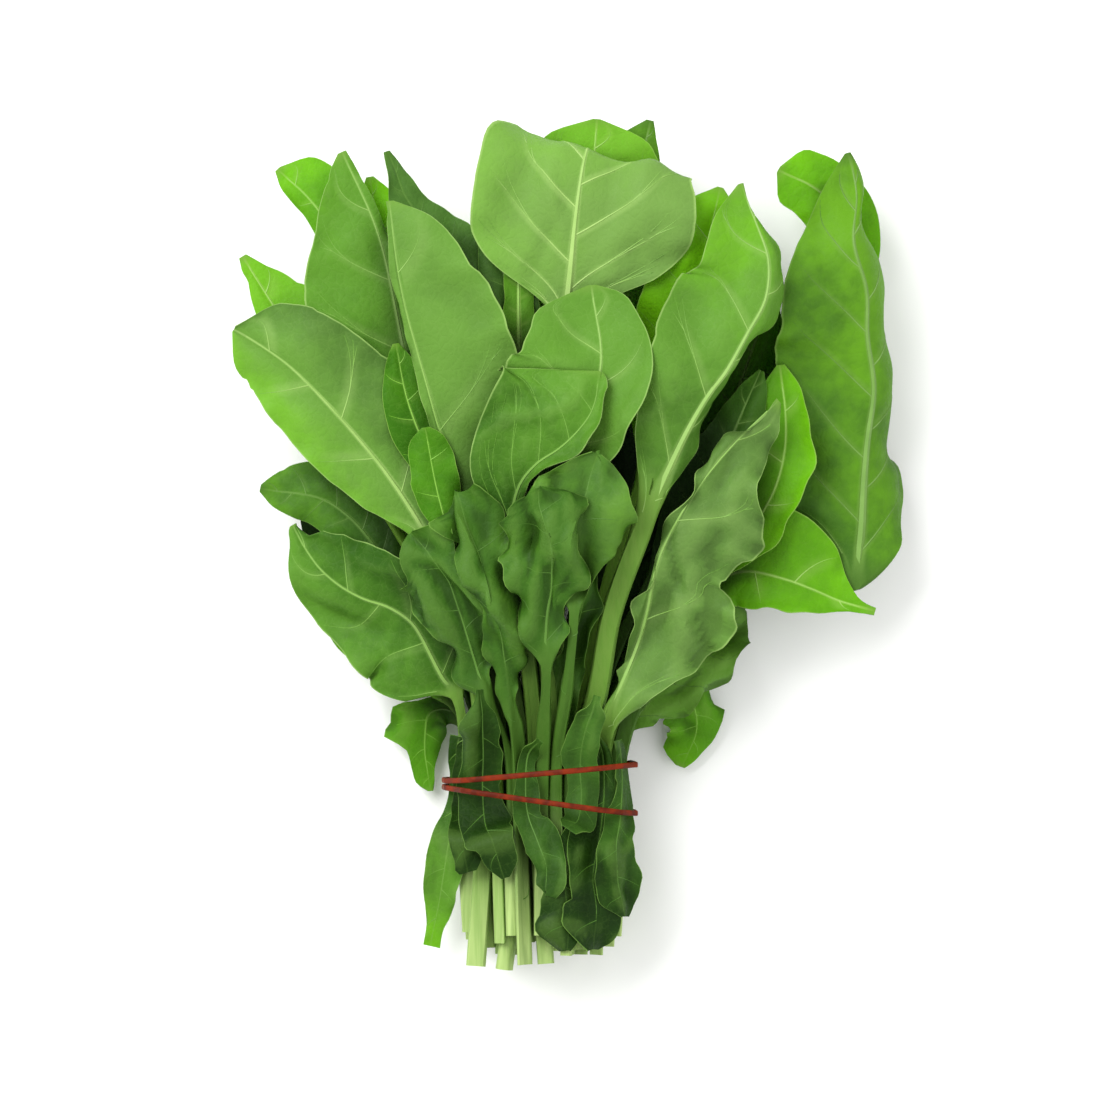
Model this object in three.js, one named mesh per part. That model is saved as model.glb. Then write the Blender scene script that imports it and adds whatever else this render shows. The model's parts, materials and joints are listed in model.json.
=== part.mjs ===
import * as THREE from 'three';

// A bunch of spinach held by a rubber band wound twice, lying on its back on a table.
// Lengths are millimetres and angles degrees. X runs across the bunch, Y from the cut stems to the
// leaf tips, and Z up from the table. The leaves are laid out from a point on the table under the
// middle of the band, and the finished bunch is centred on its footprint at the end.

// The bundle of stems inside the band: a flattened oval, clear of the table by the band's thickness.
const TIE = { halfWidth: 30.5, halfDepth: 20, floor: 3.6, straight: 10 };
// How a stem looks for its place there: how far to each side and in what steps, what a move to the
// side or a place outside the oval counts against a lower seat, and the oval's shape.
const SEEK = { reach: 7, step: 0.5, sideways: 0.45, outside: 5, tall: 1.1, blunt: 0.6 };
// Below the band the stems run on a little closer together, and are cut off unevenly.
const CUT = { y: -54, uneven: 4, shuffle: 2.4, splay: 0.92, rise: 1.1 };
// The rubber band: its section, how far it stands off the bundle, where its two turns lie at the
// sides (Y), and which part of the bundle it takes in.
const BAND = {
  width: 2.4, thickness: 1.2, clearance: 0.35, left: 1.6, rightUpper: 6.7, rightLower: -9.5,
  reach: 12, stray: 1.5, steps: 88,
};
// Under the bundle the first turn steps over the second, at a share of the way from left to right.
// late: how late the two turns spread apart there.
const CROSSING = { at: 0.37, reach: 0.335, rise: 0.15, gap: 0.5, late: 2 };
// Its rounded section, as shares of half the width and half the thickness.
const BAND_SECTION = [
  [-1, -0.55], [-1, 0.55], [-0.6, 1], [0.6, 1], [1, 0.55], [1, -0.55], [0.6, -1], [-0.6, -1],
];

// A blade is thickest at its rib and thinnest at its edge; these are half thicknesses. Its tip keeps
// a little width, and the stem flattens into the blade over the collar, a share of its length.
const BLADE = { rib: 0.75, near: 0.5, middle: 0.42, edge: 0.36, tipWidth: 1.3, collar: 0.14 };
// The stem's thickness dies away along the rib: where it starts, how soon, and how hollow.
const RIB = { start: 0.8, soon: 1.4, hollow: 0.6 };
// A half that folds over turns within a share of its width, or a length; it is laid in short pieces.
const FOLD = { share: 0.14, most: 2.2, pieces: 6, from: 0.3 };
const CURL_FROM = 0.4; // share of the blade over which a curl comes in
// The waves and notches of the two edges are out of step by these angles, in radians.
const STEP = { notchLeft: 0.3, notchRight: 1.9, waveLeft: 2.2, waveRight: 0 };
// A sheet is laid facing up, less so where its line climbs steeply.
const FACING = { steep: 0.6, level: 0.5 };
const MOST_BLADE = 0.97; // largest share of a leaf's line that is blade
const GAP = 0.4; // least clear height between two leaves
const BED_SIZE = 8; // side of the squares in which laid triangles are sorted
const TINY = { area: 1e-6, share: 1e-9 }; // less than these counts as nothing
const STEM_STEP = 32; // longest stretch of bare stem between two cross-sections
// How a leaf gives way over what it lies on: rounds of evening out, and how much each one evens.
const SETTLE = { rounds: 60, even: 0.5, fade: 0.985, closing: 600, slack: 0.002 };

// Columns across a leaf, from its left edge to its right edge.
// stem: places across the stem's radius; round: the stem's half height there; blade: share of the
// blade's half width; half: the blade's half thickness.
const BROAD = {
  stem: [-1, -0.78, -0.4, 0, 0.4, 0.78, 1],
  round: [0.3, 0.63, 0.92, 1, 0.92, 0.63, 0.3],
  blade: [-1, -0.56, -0.1, 0, 0.1, 0.56, 1],
  half: [BLADE.edge, BLADE.middle, BLADE.near, BLADE.rib, BLADE.near, BLADE.middle, BLADE.edge],
};
const SLIM = {
  stem: [-1, -0.62, 0, 0.62, 1],
  round: [0.36, 0.8, 1, 0.8, 0.36],
  blade: [-1, -0.5, 0, 0.5, 1],
  half: [BLADE.edge, BLADE.middle, BLADE.rib, BLADE.middle, BLADE.edge],
};
// Where along its blade a leaf has cross-sections, from its base to its tip.
const LARGE = [0, 0.1, 0.22, 0.34, 0.46, 0.58, 0.69, 0.79, 0.88, 0.95, 1];
const SMALL = [0, 0.15, 0.32, 0.5, 0.67, 0.82, 0.93, 1];

const COLOURS = { dark: 0x3f6a24, middle: 0x5f9136, bright: 0x7cb83a, band: 0x9c3018 };

// The leaves from the table upwards: each lies over those before it.
//   tie: X of the stem inside the band; stem: its radius there; cut: its cut end, as [x, y].
//   rib: the line of stem and rib above the band, as [x, y, height], ending at the tip.
//   root: the line from a hidden base down to the band, for a leaf that points down through it; such
//   a leaf has no bare stem.
//   blade: length of the blade; left and right: its half widths, as seen along the rib.
//   widest, taper, tip: where the outline is widest, how hollow below that and how blunt above.
//   end: the half width that its end keeps.
//   curl: how far each half turns up towards its edge, as [left, right].
//   fold: a half turned over at the rib, as [left, right]; roll: turn of the blade, base to tip.
//   wave: height of the waves along the edges; lobes: depth of the notches there; turns: their number.
//   columns, stations: how finely the sheet is made; look: its colour.
const LEAVES = [
  // Underside of the bunch, and the layers inside it.
  {
    name: 'under_left_wide', tie: -12, stem: 2.3, rib: [[-24, 42, 0], [-55, 76, -3], [-80, 98, -2]],
    blade: 88, left: 20, right: 24,
  },
  {
    name: 'under_right_wide', tie: 12, stem: 2.3, rib: [[22, 40, 0], [52, 66, -3], [84, 88, -2]],
    blade: 88, left: 24, right: 18,
  },
  {
    name: 'under_left', tie: -5, stem: 2.4, rib: [[-14, 52, 0], [-38, 100, -3], [-64, 150, -2]],
    blade: 104, left: 24, right: 24,
  },
  {
    name: 'under_right', tie: 6, stem: 2.4, rib: [[16, 52, 0], [42, 100, -3], [66, 146, -2]],
    blade: 104, left: 24, right: 24,
  },
  {
    name: 'under_middle', tie: 0, stem: 2.5, rib: [[-2, 60, -1], [-2, 120, -3], [2, 182, -2]],
    blade: 120, left: 26, right: 26,
  },
  {
    name: 'inner_left_wide', tie: -18, stem: 2.2, rib: [[-26, 40, 12], [-50, 86, 14], [-70, 122, 12]],
    blade: 84, left: 16, right: 18, look: 'middle',
  },
  {
    name: 'inner_right_wide', tie: 18, stem: 2.2, rib: [[26, 40, 12], [56, 84, 14], [80, 112, 12]],
    blade: 84, left: 18, right: 14, look: 'middle',
  },
  {
    name: 'inner_left', tie: -8, stem: 2.3, rib: [[-16, 52, 14], [-34, 110, 16], [-46, 168, 14]],
    blade: 104, left: 18, right: 20,
  },
  {
    name: 'inner_right', tie: 9, stem: 2.3, rib: [[17, 52, 14], [34, 108, 16], [50, 164, 14]],
    blade: 104, left: 20, right: 20,
  },
  {
    name: 'inner_middle', tie: 1, stem: 2.4, rib: [[2, 60, 16], [2, 120, 20], [2, 186, 22]], blade: 116,
    left: 21, right: 22,
  },

  // Right side.
  {
    name: 'right_low_hanging', tie: 24, stem: 1.9,
    rib: [[34, 28, 14], [46, 32, 12], [53, 20, 8], [48, 5, 5]], blade: 40, left: 9, right: 9,
    widest: 0.5, lobes: 0.15, look: 'bright',
  },
  {
    name: 'right_low_lobed', tie: 25, stem: 2, rib: [[33, 24, 18], [48, 40, 18], [69, 58, 14]],
    blade: 58, left: 15, right: 17, widest: 0.55, lobes: 0.14, turns: 3, wave: 2, columns: BROAD,
    stations: LARGE,
  },
  {
    name: 'right_strip', tie: 14, stem: 2.2, rib: [[34, 60, 20], [60, 116, 22], [78, 164, 22]],
    blade: 80, left: 12, right: 12, look: 'bright',
  },
  {
    name: 'far_right_back', tie: 22, stem: 2.2,
    rib: [[36, 52, 18], [70, 100, 20], [98, 150, 22], [104, 180, 22], [96, 197, 22], [80, 206, 20]],
    blade: 60, left: 12, right: 12, widest: 0.62, tip: 0.3, curl: [10, 0], look: 'bright',
    columns: BROAD,
  },
  {
    name: 'far_right', tie: 27, stem: 3,
    rib: [
      [40, 44, 20], [64, 72, 22], [82, 74, 24], [95, 66, 26], [103, 64, 27], [107, 80, 28],
      [109, 110, 30], [114, 148, 32], [111, 184, 32], [103, 211, 24],
    ],
    blade: 148, left: 35, right: 30, fold: [0, -30], curl: [10, -120], columns: BROAD, stations: LARGE,
    widest: 0.55, taper: 0.45, tip: 0.8, wave: 1.5, turns: 3,
  },
  {
    name: 'far_right_lip', tie: 25, stem: 2.2,
    rib: [[40, 46, 26], [62, 70, 30], [84, 68, 34], [98, 62, 34], [112, 58, 34]], blade: 66, left: 26,
    right: 13, widest: 0.35, curl: [0, 40], wave: 2, look: 'bright', columns: BROAD, tip: 1.5,
  },
  {
    name: 'right_inner', tie: 20, stem: 2.3,
    rib: [[32, 46, 26], [52, 66, 34], [68, 82, 38], [78, 98, 40], [82, 116, 40], [80, 140, 38]],
    blade: 84, left: 15, right: 11, curl: [0, 50], look: 'bright', columns: BROAD,
  },
  {
    name: 'top_back_dark', tie: 8, stem: 2.2,
    rib: [[12, 60, 22], [20, 120, 26], [28, 180, 30], [37, 222, 32]], blade: 76, left: 14, right: 8,
    widest: 0.7, tip: 0.8, look: 'dark',
  },
  {
    name: 'top_back', tie: 3, stem: 2.6,
    rib: [[6, 60, 26], [12, 120, 32], [16, 180, 38], [19, 222, 40]], blade: 96, left: 28, right: 31,
    tip: 0.42, look: 'bright', stations: LARGE,
  },
  {
    name: 'right_bright', tie: 10, stem: 2.4,
    rib: [[20, 56, 28], [34, 105, 34], [48, 150, 40], [60, 199, 42]], blade: 96, left: 17, right: 14,
    tip: 0.42, look: 'bright',
  },
  {
    name: 'right_dark', tie: 16, stem: 2,
    rib: [[26, 46, 28], [44, 82, 32], [62, 112, 34], [74, 138, 34]], blade: 76, left: 11, right: 10,
    look: 'dark',
  },

  // Left side.
  {
    name: 'left_low_lobed', tie: -25, stem: 1.9,
    rib: [[-30, 24, 10], [-36, 25, 10], [-39, 14, 8], [-37, -3, 6]], blade: 40, left: 6, right: 10,
    lobes: 0.25, turns: 2, look: 'bright',
  },
  {
    name: 'left_low_back', tie: -24, stem: 2,
    rib: [[-30, 28, 16], [-46, 42, 18], [-60, 50, 16], [-72, 64, 14]], blade: 58, left: 10, right: 12,
    look: 'bright',
  },
  {
    name: 'left_point', tie: -20, stem: 2.1,
    rib: [[-28, 40, 20], [-48, 70, 24], [-70, 94, 24], [-94, 99, 20]], blade: 66, left: 10, right: 12,
    widest: 0.62, look: 'dark', wave: 1.5,
  },
  {
    name: 'left_back_point', tie: -17, stem: 2.2,
    rib: [[-28, 50, 18], [-56, 100, 20], [-82, 148, 22], [-100, 177, 18]], blade: 70, left: 11,
    right: 17, widest: 0.4, tip: 1, look: 'bright',
  },
  {
    name: 'left_back_flap', tie: -14, stem: 2.2,
    rib: [[-20, 50, 20], [-42, 110, 26], [-59, 160, 30], [-74, 192, 28], [-88, 206, 24]], blade: 66,
    left: 6, right: 14, widest: 0.66, tip: 0.42, look: 'bright', columns: BROAD,
  },
  {
    name: 'left_lit', tie: -13, stem: 2.1,
    rib: [[-20, 56, 24], [-38, 110, 30], [-50, 165, 34], [-57, 203, 34]], blade: 74, left: 10,
    right: 12, look: 'bright',
  },
  {
    name: 'left_folded', tie: -15, stem: 2.7,
    rib: [[-22, 50, 26], [-36, 100, 34], [-46, 148, 40], [-54, 184, 42], [-66, 211, 40]], blade: 116,
    left: 29, right: 3, curl: [12, 0], widest: 0.55, tip: 0.85, columns: BROAD, stations: LARGE,
    look: 'middle',
  },
  {
    name: 'left_low_big', tie: -22, stem: 2.7,
    rib: [[-28, 30, 26], [-36, 48, 30], [-45, 57, 30], [-65, 63, 28], [-76, 72, 26], [-82, 86, 24]],
    blade: 84, left: 24, right: 18, curl: [-20, 8], widest: 0.3, tip: 1.2, wave: 1.5, turns: 2,
    columns: BROAD, stations: LARGE, look: 'middle',
  },
  {
    name: 'left_big', tie: -18, stem: 3.3, cut: [-21.5, -61],
    rib: [[-26, 60, 32], [-38, 84, 38], [-60, 115, 42], [-84, 140, 42], [-102, 152, 38]], blade: 100,
    left: 18, right: 25, curl: [-10, -14], widest: 0.52, tip: 0.4, columns: BROAD, stations: LARGE,
    look: 'middle',
  },

  // Middle, from the back to the front.
  {
    name: 'left_twisted', tie: -9, stem: 2.2,
    rib: [[-10, 90, 34], [-9, 135, 44], [-14, 160, 48], [-29, 179, 48], [-43, 193, 46], [-51, 211, 42]],
    blade: 96, left: 9, right: 10, roll: [0, -30], widest: 0.4, look: 'dark', columns: BROAD,
  },
  {
    name: 'middle_back', tie: -6, stem: 2.1,
    rib: [[-8, 80, 34], [-8, 130, 42], [-12, 170, 46], [-18, 190, 44]], blade: 74, left: 9, right: 10,
    look: 'dark',
  },
  {
    name: 'middle_point', tie: -4, stem: 2,
    rib: [[-4, 60, 34], [-6, 120, 44], [-7, 160, 48], [-7, 184, 48]], blade: 54, left: 5.5, right: 5.5,
    widest: 0.35, look: 'bright',
  },
  {
    name: 'top_middle', tie: 2, stem: 3.2,
    rib: [[5, 60, 36], [7, 120, 46], [10, 170, 54], [14, 204, 58], [16, 212.5, 52], [16, 208, 40]],
    blade: 74, left: 35, right: 40, widest: 0.45, taper: 0.9, tip: 0.3, columns: BROAD, stations: LARGE,
    look: 'middle',
  },
  {
    name: 'left_inner_small', tie: -14, stem: 1.9,
    rib: [[-22, 70, 36], [-35, 105, 42], [-44, 128, 44], [-48, 147, 44]], blade: 54, left: 9, right: 9,
    look: 'bright',
  },
  {
    name: 'left_tall', tie: -10, stem: 2.9, cut: [-12, -62],
    rib: [[-16, 60, 38], [-29, 102, 46], [-38, 135, 52], [-46, 165, 56], [-50, 194, 54]], blade: 120,
    left: 3, right: 32, curl: [0, 14], widest: 0.5, tip: 0.6, columns: BROAD, stations: LARGE,
    look: 'middle',
  },
  {
    name: 'left_inner_round', tie: -16, stem: 1.9,
    rib: [[-24, 60, 38], [-31, 86, 46], [-35, 102, 48], [-38, 119, 48]], blade: 40, left: 8, right: 8,
    widest: 0.6, tip: 0.42, look: 'bright',
  },
  {
    name: 'right_big', tie: 13, stem: 3.6,
    rib: [
      [19, 30, 38], [24, 58, 46], [36, 90, 54], [50, 117, 58], [66, 145, 60], [76, 168, 58],
      [67, 200, 52],
    ],
    blade: 130, left: 29, right: 11, fold: [0, -60], curl: [8, -30], widest: 0.58, taper: 1.1, tip: 0.7,
    columns: BROAD, stations: LARGE, look: 'middle',
  },
  {
    name: 'right_wavy', tie: 21, stem: 3.2,
    rib: [[24, 24, 40], [31, 48, 46], [38, 72, 50], [49, 94, 52], [63, 112, 52], [79, 128, 50]],
    blade: 124, left: 4, right: 29, lobes: 0.16, wave: 3.5, turns: 3, curl: [20, 0], widest: 0.36,
    tip: 0.85, columns: BROAD, stations: LARGE, look: 'middle',
  },
  {
    name: 'middle_round', tie: 5, stem: 2.8, cut: [13, -55],
    rib: [[1, 50, 42], [-7, 98, 54], [11, 118, 60], [20, 138, 62], [17, 166, 58]], blade: 92, left: 30,
    right: 18, curl: [6, 30], widest: 0.6, tip: 0.4, columns: BROAD, stations: LARGE, look: 'middle',
  },
  {
    name: 'middle_front', tie: -2, stem: 2.8, cut: [2, -60],
    rib: [[-5, 50, 44], [-9, 90, 58], [-4, 104, 62], [9, 114, 64], [17, 124, 64], [20, 137, 60]],
    blade: 72, left: 35, right: 6, widest: 0.72, taper: 1.5, tip: 0.18, columns: BROAD, stations: LARGE,
    look: 'middle', curl: [6, 60],
  },
  {
    name: 'left_wilted_back', tie: -13, stem: 2.2,
    rib: [[-20, 36, 36], [-27, 58, 42], [-33, 72, 44], [-43, 84, 42]], blade: 62, left: 16, right: 11,
    lobes: 0.3, wave: 3.5, turns: 2, curl: [-32, 24], taper: 0.6, widest: 0.66, tip: 0.34,
  },
  {
    name: 'left_wilted', tie: -8, stem: 2.5, cut: [-5, -60],
    rib: [[-11, 36, 44], [-14, 58, 51], [-20, 79, 54], [-25, 98, 50]], blade: 84, left: 11, right: 11,
    lobes: 0.2, wave: 2.5, turns: 2.5, curl: [-42, -22], taper: 1, widest: 0.8, tip: 0.32,
    columns: BROAD,
  },
  {
    name: 'middle_strap', tie: 9, stem: 2, rib: [[9, 34, 44], [14, 60, 52], [19, 84, 54]], blade: 74,
    left: 5, right: 5, curl: [30, 30], taper: 0.4,
  },
  {
    name: 'middle_crumpled', tie: 7, stem: 2.3,
    rib: [[10, 40, 48], [12, 68, 58], [14, 90, 64], [18, 111, 60]], blade: 54, left: 15, right: 15,
    lobes: 0.3, wave: 5, turns: 1.6, curl: [36, -50], roll: [0, 15], widest: 0.66, tip: 0.3,
    columns: BROAD,
  },
  {
    name: 'middle_wilted', tie: 1, stem: 2.5, rib: [[2, 30, 46], [2, 50, 56], [2, 76, 64], [-1, 99, 62]],
    blade: 60, left: 16, right: 13, lobes: 0.2, wave: 3, turns: 2, curl: [-46, -34], widest: 0.74,
    taper: 0.5, tip: 0.34,
    columns: BROAD,
  },

  // Leaves caught in the band, in front of the stems.
  {
    name: 'tail_right_low', tie: 9, stem: 2.2, root: [[9, 16, 38]],
    rib: [[8, -32, 28], [9, -44, 22], [9, -55, 17]], left: 8, right: 8, lobes: 0.12, widest: 0.76,
    taper: 0.9, tip: 0.24,
  },
  {
    name: 'tail_right_back', tie: 18, stem: 2.2, root: [[18, 18, 40]],
    rib: [[18, -30, 32], [19, -42, 26], [18, -55, 20]], left: 9, right: 11, lobes: 0.12, widest: 0.74,
    taper: 0.9, tip: 0.24, look: 'dark',
  },
  {
    name: 'tail_right', tie: 27, stem: 2.1, root: [[26, 15, 34]],
    rib: [[25, -20, 30], [25.5, -30, 26], [28, -44, 20]], left: 8, right: 9, widest: 0.76, tip: 0.5,
    lobes: 0.1, taper: 2.7,
  },
  {
    name: 'tail_left_winged', tie: -28, stem: 2, root: [[-27, 16, 30]],
    rib: [[-31, -22, 22], [-33, -36, 16], [-37, -55, 12]], left: 7, right: 7, widest: 0.6, tip: 0.8,
    end: 3.1, look: 'middle', taper: 2.2,
  },
  {
    name: 'tail_left', tie: -24, stem: 2, root: [[-23, 16, 38]], rib: [[-26, -17, 36], [-24, -29, 34]],
    left: 6, right: 6, tip: 0.3, widest: 0.7, taper: 0.6,
  },
  {
    name: 'tail_left_front', tie: -17, stem: 2.2, root: [[-20, 32, 44]],
    rib: [[-16, -18, 41], [-12, -31, 38]], left: 8, right: 8, tip: 0.3, taper: 0.55, look: 'dark',
    widest: 0.66,
  },
  {
    name: 'tail_middle', tie: -1, stem: 2, root: [[0, 15, 44]], rib: [[2, -26, 38], [2, -37, 34]],
    left: 6, right: 6, taper: 0.6, tip: 0.32, widest: 0.7, look: 'dark',
  },
  {
    name: 'tie_front', tie: 14, stem: 2, root: [[19, 30, 48]], rib: [[9, -14, 44]], left: 6, right: 6,
    widest: 0.4, taper: 0.6,
  },
];

const up = new THREE.Vector3(0, 0, 1);
const vector = ([x, y, z]) => new THREE.Vector3(x, y, z);
const mix = THREE.MathUtils.lerp;
const smooth = (x) => THREE.MathUtils.smoothstep(x, 0, 1);
const radians = THREE.MathUtils.degToRad;

// Each stem in turn drops into the lowest hollow near its place in the bundle.
function stackStems(leaves) {
  const placed = [];
  for (const leaf of leaves) {
    let best = null;
    for (let shift = -SEEK.reach; shift <= SEEK.reach; shift += SEEK.step) {
      const x = leaf.tie + shift;
      let z = TIE.floor + leaf.stem;
      for (const other of placed) {
        const reach = leaf.stem + other.radius + GAP;
        const across = x - other.x;
        if (Math.abs(across) >= reach) continue;
        z = Math.max(z, other.z + Math.sqrt(reach ** 2 - across ** 2));
      }
      const level = Math.abs(z - TIE.floor - TIE.halfDepth) / (TIE.halfDepth * SEEK.tall);
      const room = (TIE.halfWidth - leaf.stem) * Math.sqrt(1 - Math.min(1, level) ** 2) ** SEEK.blunt;
      const outside = Math.max(0, Math.abs(x) - room);
      const cost = z + SEEK.sideways * Math.abs(shift) + SEEK.outside * outside;
      if (!best || cost < best.cost) best = { x, z, cost, radius: leaf.stem };
    }
    placed.push(best);
  }
  return placed;
}

// The line of a leaf from its cut end, or its hidden base, through the band to its tip.
function centreLine(leaf, seat) {
  const lower = new THREE.Vector3(seat.x, -TIE.straight, seat.z);
  const upper = new THREE.Vector3(seat.x, TIE.straight, seat.z);
  const rib = leaf.rib.map(vector);
  const cutDefault = [seat.x * CUT.splay, CUT.y + CUT.uneven * Math.sin(seat.x * CUT.shuffle)];
  const [cutX, cutY] = leaf.cut ?? cutDefault;
  const end = new THREE.Vector3(cutX, cutY, seat.z * CUT.rise);
  const upward = [end, lower, upper, ...rib];
  const points = leaf.root ? [...leaf.root.map(vector), upper, lower, ...rib] : upward;
  return new THREE.CatmullRomCurve3(points, false, 'centripetal');
}

// Distances along the line where the leaf has cross-sections; those on the blade are negative.
function stationsOf(leaf, curve) {
  const total = curve.getLength();
  const blade = leaf.root ? total * MOST_BLADE : Math.min(leaf.blade, total * MOST_BLADE);
  const bare = total - blade;
  const steps = Math.max(1, Math.ceil(bare / STEM_STEP));
  const stations = [];
  for (let step = 0; step < steps; step++) {
    stations.push({ at: (bare * step) / steps, along: -1 });
  }
  for (const along of leaf.stations) {
    stations.push({ at: bare + blade * along, along });
  }
  return stations.map(({ at, along }) => ({ share: at / total, along }));
}

// How wide the blade is at a place along it, as a share of its full width.
function outline(leaf, along) {
  const { widest, taper, tip } = leaf;
  if (along < widest) return Math.sin(((along / widest) * Math.PI) / 2) ** taper;
  return Math.max(0, 1 - ((along - widest) / (1 - widest)) ** 2) ** tip;
}

// Height and place across of a point on one half of a blade, a distance out from the rib.
function acrossHalf(width, share, fold, curl) {
  const bend = Math.max(Math.min(FOLD.share * width, FOLD.most), TINY.area);
  let place = 0;
  let height = 0;
  const length = (width * share) / FOLD.pieces;
  for (let piece = 0; piece < FOLD.pieces; piece++) {
    const out = length * (piece + 0.5);
    const angle = radians(fold * smooth(out / bend) + curl * (out / width));
    place += Math.cos(angle) * length;
    height += Math.sin(angle) * length;
  }
  return { place, height };
}

// The sheet of a leaf: at each station a row of columns, each with its point and its half thickness.
function layLeaf(leaf, seat) {
  const curve = centreLine(leaf, seat);
  const { columns } = leaf;
  const normal = new THREE.Vector3().copy(up);
  const rows = [];
  for (const { share, along } of stationsOf(leaf, curve)) {
    const centre = curve.getPointAt(share);
    const ahead = curve.getTangentAt(share);
    const level = up.clone().addScaledVector(ahead, -up.dot(ahead)).normalize();
    normal.addScaledVector(ahead, -normal.dot(ahead)).normalize();
    if (Math.abs(ahead.z) < FACING.steep) normal.lerp(level, FACING.level).normalize();
    const side = new THREE.Vector3().crossVectors(ahead, normal).normalize();
    const onBlade = Math.max(0, along);
    const turn = radians(mix(leaf.roll[0], leaf.roll[1], onBlade));
    const [sine, cosine] = [Math.sin(turn), Math.cos(turn)];
    const right = side.clone().multiplyScalar(cosine).addScaledVector(normal, sine);
    const face = normal.clone().multiplyScalar(cosine).addScaledVector(side, -sine);
    const spread = leaf.root ? 1 : smooth(along / BLADE.collar);
    const width = outline(leaf, onBlade);
    const dying = Math.min(1, onBlade * RIB.soon) ** RIB.hollow;
    const ribHalf = leaf.root ? BLADE.rib : mix(leaf.stem * RIB.start, BLADE.rib, dying);
    const phase = leaf.turns * 2 * Math.PI * onBlade;
    rows.push(columns.stem.map((stemShare, column) => {
      const bladeShare = columns.blade[column];
      const isRight = bladeShare > 0;
      const hand = isRight ? 1 : 0;
      const notch = 1 + leaf.lobes * Math.sin(phase + (isRight ? STEP.notchRight : STEP.notchLeft));
      const full = Math.max(leaf.end, (isRight ? leaf.right : leaf.left) * width * notch);
      const fold = leaf.fold[hand] * smooth(onBlade / FOLD.from);
      const curl = leaf.curl[hand] * smooth(onBlade / CURL_FROM);
      const { place, height } = acrossHalf(full, Math.abs(bladeShare), fold, curl);
      const swell = leaf.wave * bladeShare ** 2 * width;
      const ripple = swell * Math.sin(phase + (isRight ? STEP.waveRight : STEP.waveLeft));
      const out = mix(stemShare * leaf.stem, isRight ? place : -place, spread);
      const lift = mix(0, height + ripple, spread);
      const bladeHalf = bladeShare === 0 ? ribHalf : columns.half[column];
      const half = mix(leaf.stem * columns.round[column], bladeHalf, spread);
      const point = centre.clone().addScaledVector(right, out).addScaledVector(face, lift);
      return { point, face, half };
    }));
  }
  return rows;
}

// Normals of the sheet, so that its thickness is measured square to it.
function squareUp(rows, bladeFrom) {
  const [lastRow, lastColumn] = [rows.length - 1, rows[0].length - 1];
  const between = (from, to) => to.point.clone().sub(from.point);
  for (let r = bladeFrom; r <= lastRow; r++) {
    rows[r].forEach((cell, c) => {
      const ahead = between(rows[Math.max(r - 1, 0)][c], rows[Math.min(r + 1, lastRow)][c]);
      const across = between(rows[r][Math.max(c - 1, 0)], rows[r][Math.min(c + 1, lastColumn)]);
      const square = across.cross(ahead);
      if (square.lengthSq() > TINY.area) cell.face = square.normalize();
    });
  }
}

// The closed skin of a leaf: a ring round each row, upper side first, with a fan over each end.
function skinOf(rows) {
  const across = rows[0].length;
  const ring = across * 2;
  const vertices = []; // each with the number of the cell that carries it
  const push = (r, c, side) => {
    const { point, face, half } = rows[r][c];
    vertices.push({ at: point.clone().addScaledVector(face, side * half), cell: r * across + c });
  };
  for (let r = 0; r < rows.length; r++) {
    for (let c = 0; c < across; c++) push(r, c, 1);
    for (let c = across - 1; c >= 0; c--) push(r, c, -1);
  }
  const triangles = [];
  for (let r = 0; r + 1 < rows.length; r++) {
    for (let k = 0; k < ring; k++) {
      const next = (k + 1) % ring;
      const [a, b] = [r * ring + k, r * ring + next];
      const [c, d] = [b + ring, a + ring];
      const under = k >= across && k < ring - 1;
      triangles.push(...(under ? [[a, b, d], [b, c, d]] : [[a, b, c], [a, c, d]]));
    }
  }
  for (const r of [0, rows.length - 1]) {
    const middle = vertices.length;
    push(r, (across - 1) / 2, 0);
    for (let k = 0; k < ring; k++) {
      const [a, b] = [r * ring + k, r * ring + ((k + 1) % ring)];
      triangles.push(r === 0 ? [middle, b, a] : [middle, a, b]);
    }
  }
  return { vertices, triangles };
}

// Twice the area of a triangle seen from above, positive where it turns left.
const turnOf = (a, b, c) => (b.x - a.x) * (c.y - a.y) - (b.y - a.y) * (c.x - a.x);

// How far a triangle of a skin faces up: twice its area seen from above, negative from below.
const facingUp = (triangle) => turnOf(triangle[0].at, triangle[1].at, triangle[2].at);

// Shares of a triangle's corners at a point seen from above, or null outside it.
function sharesAt(triangle, point) {
  const [a, b, c] = triangle;
  const whole = turnOf(a, b, c);
  const shares = [[b, c], [c, a], [a, b]].map(([from, to]) => turnOf(from, to, point) / whole);
  return shares.every((share) => share >= -TINY.share) ? shares : null;
}

// Where two edges cross, seen from above, as the share along each.
function crossingOf(a, b, c, d) {
  const base = (b.x - a.x) * (d.y - c.y) - (b.y - a.y) * (d.x - c.x);
  if (Math.abs(base) < TINY.share) return null;
  const s = ((c.x - a.x) * (d.y - c.y) - (c.y - a.y) * (d.x - c.x)) / base;
  const t = ((c.x - a.x) * (b.y - a.y) - (c.y - a.y) * (b.x - a.x)) / base;
  return s >= 0 && s <= 1 && t >= 0 && t <= 1 ? [s, t] : null;
}

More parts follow.
